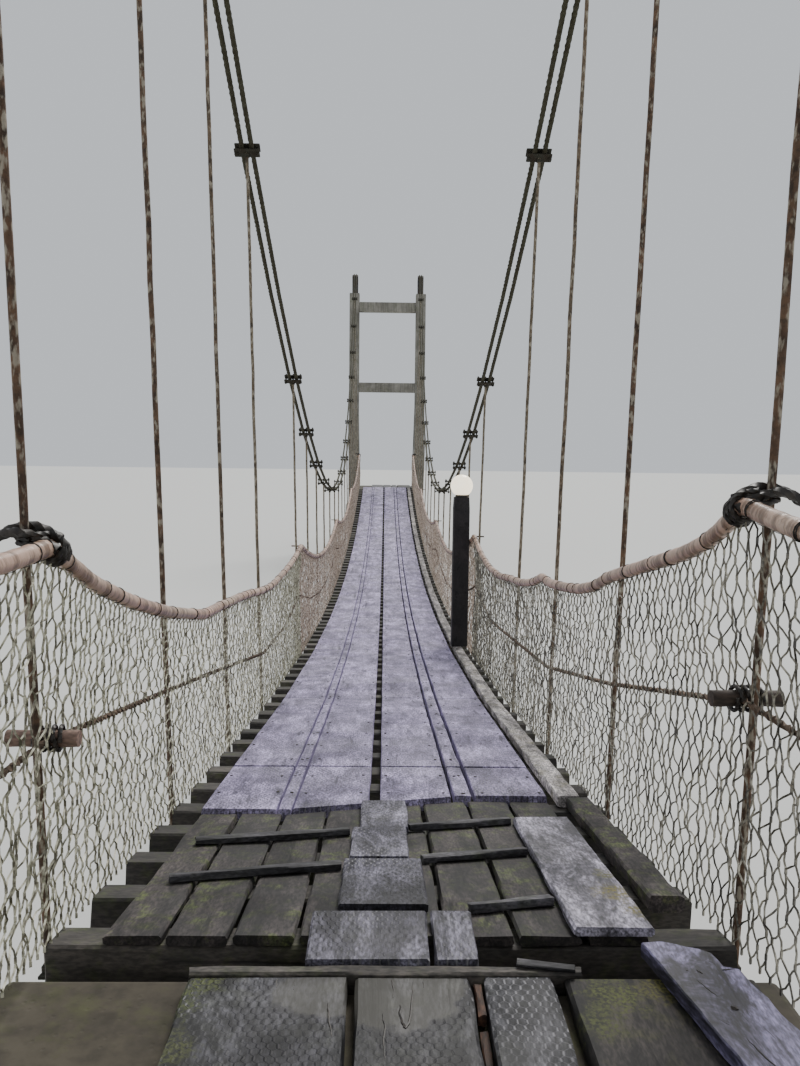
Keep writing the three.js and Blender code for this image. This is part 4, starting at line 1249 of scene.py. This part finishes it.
def net_columns(side, start, end, bar, rows, wide):
    """Places along Y where the strands of a panel stand: closer together where the side is taller."""
    fine = np.linspace(start, end, 400)
    heights = np.array([(rail_z(side, y) - net_bottom(y)) / rows for y in fine])
    if side > 0:
        bar = bar + wide * np.clip((station_y(2.2) - fine) / (1.4 * BAY), 0, 1)
    widths = 1.6 * np.sqrt(np.maximum(bar ** 2 - heights ** 2, (0.36 * bar) ** 2))
    widths = np.convolve(np.pad(widths, 12, "edge"), np.ones(25) / 25, "valid")
    counted = np.concatenate(([0], np.cumsum(np.diff(fine) / (0.5 * (widths[1:] + widths[:-1])))))
    columns = round(counted[-1])
    return np.interp(np.linspace(0, counted[-1], 2 * columns + 1), counted, fine)


def net_knots(side, places, rows, slack, shear):
    """Knots of one panel, as rows of points. They wander, but not at the edges of the panel."""
    rng = np.random.default_rng(int(500 + 10 * places[0] + side))
    last = len(places) - 1
    knots = np.zeros((rows + 1, last + 1, 3))
    for i, y in enumerate(places):
        inside = min(max((y - places[0]) / 0.5, 0), max((station_y(3.2) - y) / 1.2, 0), 1)
        sway = shear * inside * (rail_z(side, y) - net_bottom(y)) * (side < 0)
        low, high = net_bottom(y - sway / 2), rail_z(side, y + sway / 2) - RAIL_RADIUS * 0.8
        for level in range(rows + 1):
            part = level / rows
            swell = math.sin(math.pi * part)
            wander = noise.noise((y * 1.3, part * 2.2, side * 10.0))
            pull = 0.5 * swell * noise.noise((y * 2.1, part * 3.0, side * 10.0 + 5))
            jog = rng.normal(0, 0.0042, 3) * min(swell * 3, 1) * (0 < i < last)
            x = SIDE_X + swell * slack * (0.35 + 1.2 * wander) + jog[0]
            knots[level, i] = (side * x, y + 0.03 * pull + jog[1] + sway * (part - 0.5),
                               low + (high - low) * part + 0.06 * pull + jog[2])
    return knots


def net_chains(knots, length, curled):
    """Zigzag strands between the knots, and the knots as short upright bars, or as plain crossings without length."""
    rng = np.random.default_rng(5)
    rows, last = knots.shape[0] - 1, knots.shape[1] - 1
    rise = np.array((0, 0, length / 2))
    chains, thick = [], []
    for row in range(rows):
        chain = []
        for i in range(last + 1):
            upper = (i + row) % 2
            point = knots[row + upper, i] + (rise if not upper else -rise)
            if curled and chain:
                bow = rng.normal(0, 0.0024, 3) + np.array((0, 0.0026 * (1 if i % 2 else -1), 0))
                chain.append((chain[-1] + point) / 2 + bow)
            chain.append(point)
        chains.append(chain)
        thick += [1.0] * len(chain)
    for row in range(rows + 1) if length else ():
        for i in range(row % 2, last + 1, 2):
            chains.append([knots[row, i] - rise * 1.1, knots[row, i] + rise * 1.1])
            thick += [1.35, 1.35]
    return chains, thick


class BuildNets(Operator):
    """Make the knotted net sides, panel by panel"""
    bl_idname = "bridge.nets"
    bl_label = "Nets"

    def execute(self, context):
        settings = context.scene.bridge_nets
        tree = knotted_net()
        splits = (-NET_END, station_y(5), station_y(10), station_y(15), NET_END)
        for name, side in SIDES:
            for index, (start, end) in enumerate(zip(splits, splits[1:])):
                places = net_columns(side, start, end, settings.bar, settings.rows, settings.wide)
                knots = net_knots(side, places, settings.rows, settings.slack, settings.shear)
                chains = net_chains(knots, settings.knot if index < 2 else 0.0, index == 0)
                node = f"{name}_net_{index + 1}"
                grown(node + "_twine", line_mesh(*chains), tree, {"Twine": settings.twine},
                      "net_" + name if index == 0 else "net_far", [node], 80)
        return {"FINISHED"}


# Rails, middle ropes and lashings

RAIL_GAP = 0.155
SLEEVE_LENGTH, LACING_STEP = 0.56, 0.085


def rail_path(side, step=0.02):
    count = int(2 * HALF_SPAN / step)
    path = []
    for i in range(count + 1):
        y = -HALF_SPAN + RAIL_GAP + (2 * HALF_SPAN - 2 * RAIL_GAP) * i / count
        inward = min(max((abs(y) - 12.6) / 0.45, 0), 1)
        wave = 0.004 * noise.noise((y * 2.3, side * 4.0, 1.0)) * (1 - inward)
        dip = 0.005 * noise.noise((y * 1.7, side * 4.0, 8.0)) * (1 - inward)
        limit = min(abs(y), NET_END)
        path.append((side * (SIDE_X + 0.102 * inward + wave), y, rail_z(side, math.copysign(limit, y)) + dip))
    return path


def rail_radius(y, rib):
    """Sleeves with soft ribs, and a groove where two of them meet."""
    swell = math.cos(2 * math.pi * y / rib)
    groove = max(0, math.cos(2 * math.pi * y / SLEEVE_LENGTH) - 0.97)
    return RAIL_RADIUS * (0.975 + 0.025 * swell - 0.06 * groove / 0.03)


def lacing(path, swing, radius):
    """Thread that holds the net: it swings from side to side under the rail."""
    line = []
    for i in range(4, len(path) - 4):
        for part in (0.0, 0.5):
            p = Vector(path[i]).lerp(Vector(path[i + 1]), part)
            turn = -math.pi / 2 + swing * math.sin(2 * math.pi * p.y / LACING_STEP)
            reach = RAIL_RADIUS + radius
            line.append((p.x + reach * math.cos(turn), p.y, p.z + reach * math.sin(turn)))
    return line


class BuildRails(Operator):
    """Make the sleeved hand ropes with their ties and lashing twine"""
    bl_idname = "bridge.rails"
    bl_label = "Rails"

    def execute(self, context):
        settings = context.scene.bridge_rails
        tree = hoops()
        for name, side in SIDES:
            rng = random.Random(17 + side)
            sleeves, lace, ties = Shell(), Shell(), Spots()
            path = rail_path(side)
            points, faces = tube(path, [rail_radius(p[1], settings.sleeve) for p in path], 10)
            sleeves.add(points, faces)
            sleeves.tints = [0.5 + 0.5 * noise.noise((p[1] * 1.9, side * 3.0, 0.0)) for p in points.tolist()]
            at = 4
            while at < len(path) - 4:
                a, b = Vector(path[at]), Vector(path[at + 1])
                for shift in (0.0, 0.3) if rng.random() < 0.25 else (0.0,):
                    lean = Vector([rng.uniform(-0.12, 0.12) for _ in range(3)])
                    ties.add(a + (b - a) * shift, (b - a).normalized() + lean)
                at += rng.choice((6, 8, 10, 12, 14, 17))
            rail = [f"{name}_rail"]
            piece(f"{name}_rail_sleeves", sleeves.mesh("sleeves", 60), "sleeve", rail)
            lace.add(*tube(lacing(path, settings.swing, settings.lacing), settings.lacing, 3), tint=0.9)
            piece(f"{name}_rail_lacing", lace.mesh("lacing", 60), "tie", rail)
            grown(f"{name}_rail_ties", ties.mesh(), tree, {"Radius": RAIL_RADIUS, "Twine": settings.tie}, "tie",
                  rail, 60)
        return {"FINISHED"}


def log_line(side, k, z, radius, reach, inner=0.7943):
    y = rod_at(side, k, z + radius).y + 0.01 + radius + 0.0006
    return Vector((side * inner, y, z)), Vector((side * (SIDE_X + reach), y, z))


def knobbly(start, end, radius, sides=12, count=9):
    """A round timber with an uneven surface."""
    path = [tuple(start.lerp(end, i / (count - 1))) for i in range(count)]
    radii = [[radius * (0.94 + 0.12 * noise.noise((i * 0.7, j * 0.9, start.y))) for j in range(sides)]
             for i in range(count)]
    return tube(path, radii, sides)


def coil(centre, axis, radius, seed, turns=1.05, drift=0.012):
    """One open turn of rope round an axis, as a chain of points."""
    side = axis.cross(Vector((0, 0.3, 1))).normalized()
    up = axis.cross(side)
    rng = random.Random(seed)
    count = int(22 * turns)
    points = []
    for i in range(count + 1):
        angle = 2 * math.pi * turns * i / count
        reach = radius + rng.uniform(0, 0.002)
        points.append(centre + reach * (math.cos(angle) * side + math.sin(angle) * up) + axis * drift * i / count)
    return points


def rope_bundle(side, k):
    """Two thick ropes that leave the rail and hold the rod between them."""
    z = rail_z(side, station_y(k))
    rod = rod_at(side, k, z)
    lines = []
    for way in (-1, 1):
        line = []
        for i in range(15):
            part = i / 14
            x = 0.765 + 0.165 * part
            near = math.exp(-((x - abs(rod.x)) / 0.045) ** 2)
            y = rod.y + way * (0.012 + 0.014 * near)
            line.append((side * x, y, z + 0.006 + 0.034 * math.sin(math.pi * part) + 0.011 * way * (1 - part)))
        lines.append(line)
    return lines


def lashing(side, k):
    """Turns of rope round the rail and round its hanger."""
    y0 = station_y(k)
    z0 = rail_z(side, y0)
    rod = rod_at(side, k, z0)
    chains = []
    for turn, y in enumerate((-0.004, 0.014, 0.032)):
        centre = Vector((side * SIDE_X, y0 + y, rail_z(side, y0 + y)))
        slope = rail_z(side, y0 + y + 0.03) - rail_z(side, y0 + y - 0.03)
        axis = Vector((0.10 * side * (turn - 1), 1, slope / 0.06)).normalized()
        chains.append(coil(centre, axis, 0.0305, turn, 1.1))
    for turn, z in enumerate((0.004, 0.024)):
        middle = Vector((side * (0.3 * SIDE_X + 0.7 * abs(rod.x)), rod.y, z0 + z))
        axis = Vector((0.2 * side * (turn - 1), 0.1, 1)).normalized()
        chains.append(coil(middle, axis, 0.033, turn + 9, 1.15))
    return chains


MIDDLE_RADIUS, MIDDLE_OFFSET = 0.0102, 0.0187
LOG, PEG = 0.021, 0.007


class BuildTies(Operator):
    """Make the middle ropes, the round timber pieces and the rope lashings at the tied hangers"""
    bl_idname = "bridge.ties"
    bl_label = "Middle ropes and lashings"

    def execute(self, context):
        tree = laid_rope()
        for name, side in SIDES:
            line = []
            for k in range(LAST + 1):
                z = rail_z(side, station_y(k)) - MIDDLE_DROP + float(np.interp(k, *zip(*MIDDLE_LIFT[side])))
                line.append((rod_at(side, k, z).x - side * MIDDLE_OFFSET, station_y(k), z))
            first, last = [(side * 0.87, way * (HALF_SPAN - 0.1552), line[i][2]) for way, i in ((-1, 0), (1, -1))]
            rail, middle = f"{name}_rail", f"{name}_middle_rope"
            grown(middle + "_strands", line_mesh([[first, *line, last]]), tree,
                  {"Radius": MIDDLE_RADIUS, "Lay": 0.1, "Step": 0.019, "Strands": 3, "Groove": 0.62}, "rust",
                  [middle], ROPE_SMOOTH)
            logs, bundles, chains, wraps = Shell(), [], [], []
            for k in TIES[1:-1]:
                level = rail_z(side, station_y(k))
                if k not in (0, LAST):
                    start, end = log_line(side, k, level, PEG, 0.09)
                    logs.add(*knobbly(start, end, PEG, 8), tint=0.5)
                    continue
                start, end = log_line(side, k, level - MIDDLE_DROP, LOG, 0.12, 0.742 if k == 0 else 0.7943)
                logs.add(*knobbly(start, end, LOG), tint=0.5)
                for turn in range(4):
                    wraps.append(coil(start.lerp(end, 0.3 + 0.1 * turn), Vector((1, 0.1, 0)), 0.0265, turn))
                bundles += rope_bundle(side, k)
                chains += lashing(side, k)
            piece(f"{name}_round_timber", logs.mesh("logs", 40), "log" if side < 0 else "dark_log",
                  [rail, middle])
            for label, lines, radius, lay in (("bundles", bundles, 0.0125, 0.13), ("lashings", chains, 0.007, 0.08),
                                              ("log_wraps", wraps, 0.0055, 0.05)):
                grown(f"{name}_{label}", line_mesh(lines), tree,
                      {"Radius": radius, "Lay": lay, "Step": 0.75 * radius, "Strands": 4, "Groove": 0.84}, "tie",
                      [rail], ROPE_SMOOTH)
        return {"FINISHED"}


# Lamp, masonry and stage

LAMP_STATION, POST_HALF = 5.25, 0.075
GLOBE_RADIUS, NECK_RADIUS = 0.105, 0.062
POST_STEPS, GLOBE_STEPS = 14, 24


class BuildLamp(Operator):
    """Make the lamp's post, collar and globe"""
    bl_idname = "bridge.lamp"
    bl_label = "Lamp"

    def execute(self, context):
        low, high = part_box("lamp_post")
        x, y = (low[0] + high[0]) / 2, (low[1] + high[1]) / 2
        slope = math.tan(section_at(LAMP_STATION)[2].to_euler().x)
        foot = low[2] + abs(slope) * POST_HALF
        points = []
        for i in range(POST_STEPS + 1):
            part = i / POST_STEPS
            inset = 0.006 if i == POST_STEPS else 0
            corners = octagon(low[0] + inset, high[0] - inset, low[1] + inset, high[1] - inset, 0.008)
            for j, (a, b) in enumerate(corners):
                level = foot + (high[2] - foot) * part + slope * (b - y) * (1 - part)
                bite = 0.002 * max(0, noise.noise((part * 9, j * 2.0, 4.0)))
                points.append((a + (bite if a < x else -bite), b, min(level, high[2])))
        bottom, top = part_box("lamp_collar")
        z0, z1 = bottom[2], top[2]
        collar = ((0.0, z0), (0.058, z0), (0.062, z0 + 0.003), (0.062, z0 + 0.008), (0.055, z0 + 0.012),
                  (0.055, z1 - 0.008), (0.061, z1 - 0.005), (0.061, z1 - 0.0015), (0.058, z1), (0.0, z1))
        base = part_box("lamp_globe")[0][2]
        rise = math.sqrt(GLOBE_RADIUS ** 2 - NECK_RADIUS ** 2)
        first = -math.asin(rise / GLOBE_RADIUS)
        globe = [(0.0, base)]
        for i in range(GLOBE_STEPS + 1):
            angle = first + (math.pi / 2 - first) * i / GLOBE_STEPS
            globe.append((GLOBE_RADIUS * math.cos(angle) if i < GLOBE_STEPS else 0.0,
                          base + rise + GLOBE_RADIUS * math.sin(angle)))
        for name, form, degrees, look, slot, node in (
                ("lamp_timber_post", (points, rings(POST_STEPS + 1, 8)), 35, "post", "black_timber", "lamp_post"),
                ("lamp_neck", lathe(collar, x, y, 40), 30, "casting", "cast_steel", "lamp_collar"),
                ("lamp_opal_globe", lathe(globe, x, y, 48), 50, "globe", "opal_glass", "lamp_globe")):
            shell = Shell()
            shell.add(*form)
            piece(name, shell.mesh(name, degrees), look, [node])
        return {"FINISHED"}


class BuildMasonry(Operator):
    """Finish the towers, saddles, abutments and anchor blocks"""
    bl_idname = "bridge.masonry"
    bl_label = "Towers and anchors"

    def execute(self, context):
        for name, obj in list(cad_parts.items()):
            if obj.hide_render:
                continue
            look, slot, wear = "concrete", "concrete", context.scene.bridge_masonry.edge
            if "saddle" in name:
                look, slot, wear = "casting", "cast_steel", 0.006
            elif "abutment" in name:
                look = "landing_top"
            piece(name + "_form", cast_form(obj, wear), look, [name])
        return {"FINISHED"}


# The camera as fitted to the photograph: turns in degrees, place in metres, lens in millimetres.
PITCH, YAW, ROLL = -5.364, 1.022, 0.670
CAMERA = (-0.0326, -13.99, EYE_LEVEL)
LENS, SENSOR, CLIP_END = 29.72, 36.0, 300
FLOOR_SIZE = 120.0
SKY_COLOR, SUN_COLOR = (0.86, 0.9, 0.95, 1), (1.0, 0.98, 0.94)
SUN_TURNS, SUN_SIZE = (-38, 18, 0), 22  # degrees


class BuildStage(Operator):
    """Set the floor, the light and the camera"""
    bl_idname = "bridge.stage"
    bl_label = "Stage"

    def execute(self, context):
        settings, link = context.scene.bridge_stage, context.scene.collection.objects.link
        mesh = bpy.data.meshes.new("floor")
        corners = [(x * FLOOR_SIZE, y * FLOOR_SIZE, 0) for x, y in ((-1, -1), (1, -1), (1, 1), (-1, 1))]
        mesh.from_pydata(corners, [], [(0, 1, 2, 3)])
        floor = bpy.data.objects.new("floor", mesh)
        link(floor)
        paint = Finish("Pale floor")
        paint.shader["Base Color"].default_value = (*settings.floor, 1)
        paint.shader["Roughness"].default_value = 0.9
        mesh.materials.append(paint.material)
        world = bpy.data.worlds.new("Studio")
        world.use_nodes = True
        even = world.node_tree.nodes["Background"].inputs
        even["Color"].default_value = SKY_COLOR
        even["Strength"].default_value = settings.sky
        context.scene.world = world
        light = bpy.data.lights.new("Key", "SUN")
        light.energy, light.angle, light.color = settings.sun, math.radians(SUN_SIZE), SUN_COLOR
        sun = bpy.data.objects.new("Key", light)
        sun.rotation_euler = [math.radians(turn) for turn in SUN_TURNS]
        link(sun)

        pitch, yaw, roll = math.radians(PITCH), math.radians(YAW), math.radians(ROLL)
        ahead = Vector((math.sin(yaw) * math.cos(pitch), math.cos(yaw) * math.cos(pitch), math.sin(pitch)))
        right = Vector((math.cos(yaw), -math.sin(yaw), 0))
        up = right.cross(ahead)
        turned = math.cos(roll) * right + math.sin(roll) * up
        above = -math.sin(roll) * right + math.cos(roll) * up
        data = bpy.data.cameras.new("Camera")
        data.sensor_width, data.lens, data.clip_end = SENSOR, LENS, CLIP_END
        camera = bpy.data.objects.new("Camera", data)
        pose = Matrix((turned, above, -ahead)).transposed().to_4x4()
        pose.translation = CAMERA
        camera.matrix_world = pose
        link(camera)
        context.scene.camera = camera
        return {"FINISHED"}


PIECES = (BuildMainRopes, BuildHangers, BuildDeck, BuildNearBay, BuildLanding, BuildNets, BuildRails, BuildTies,
          BuildLamp, BuildMasonry, BuildStage)
SETTINGS = {"bridge_ropes": RopeSettings, "bridge_hangers": HangerSettings, "bridge_deck": DeckSettings,
            "bridge_nets": NetSettings, "bridge_rails": RailSettings, "bridge_lamp": LampSettings,
            "bridge_masonry": MasonrySettings, "bridge_stage": StageSettings}


class FootbridgePanel(Panel):
    bl_idname = "VIEW3D_PT_footbridge"
    bl_label = "Footbridge"
    bl_space_type = "VIEW_3D"
    bl_region_type = "UI"
    bl_category = "Footbridge"

    def draw(self, context):
        for operator in PIECES:
            self.layout.operator(operator.bl_idname)
        for name in SETTINGS:
            group = getattr(context.scene, name)
            for key in group.__annotations__:
                self.layout.prop(group, key)


def register():
    for cls in (*SETTINGS.values(), *PIECES, FootbridgePanel):
        bpy.utils.register_class(cls)
    for name, cls in SETTINGS.items():
        setattr(bpy.types.Scene, name, PointerProperty(type=cls))


def unregister():
    for name in SETTINGS:
        delattr(bpy.types.Scene, name)
    for cls in (FootbridgePanel, *reversed(PIECES), *SETTINGS.values()):
        bpy.utils.unregister_class(cls)


def main():
    register()
    for operator in PIECES:
        area, name = operator.bl_idname.split(".")
        getattr(getattr(bpy.ops, area), name)()


if __name__ == "__main__":
    main()
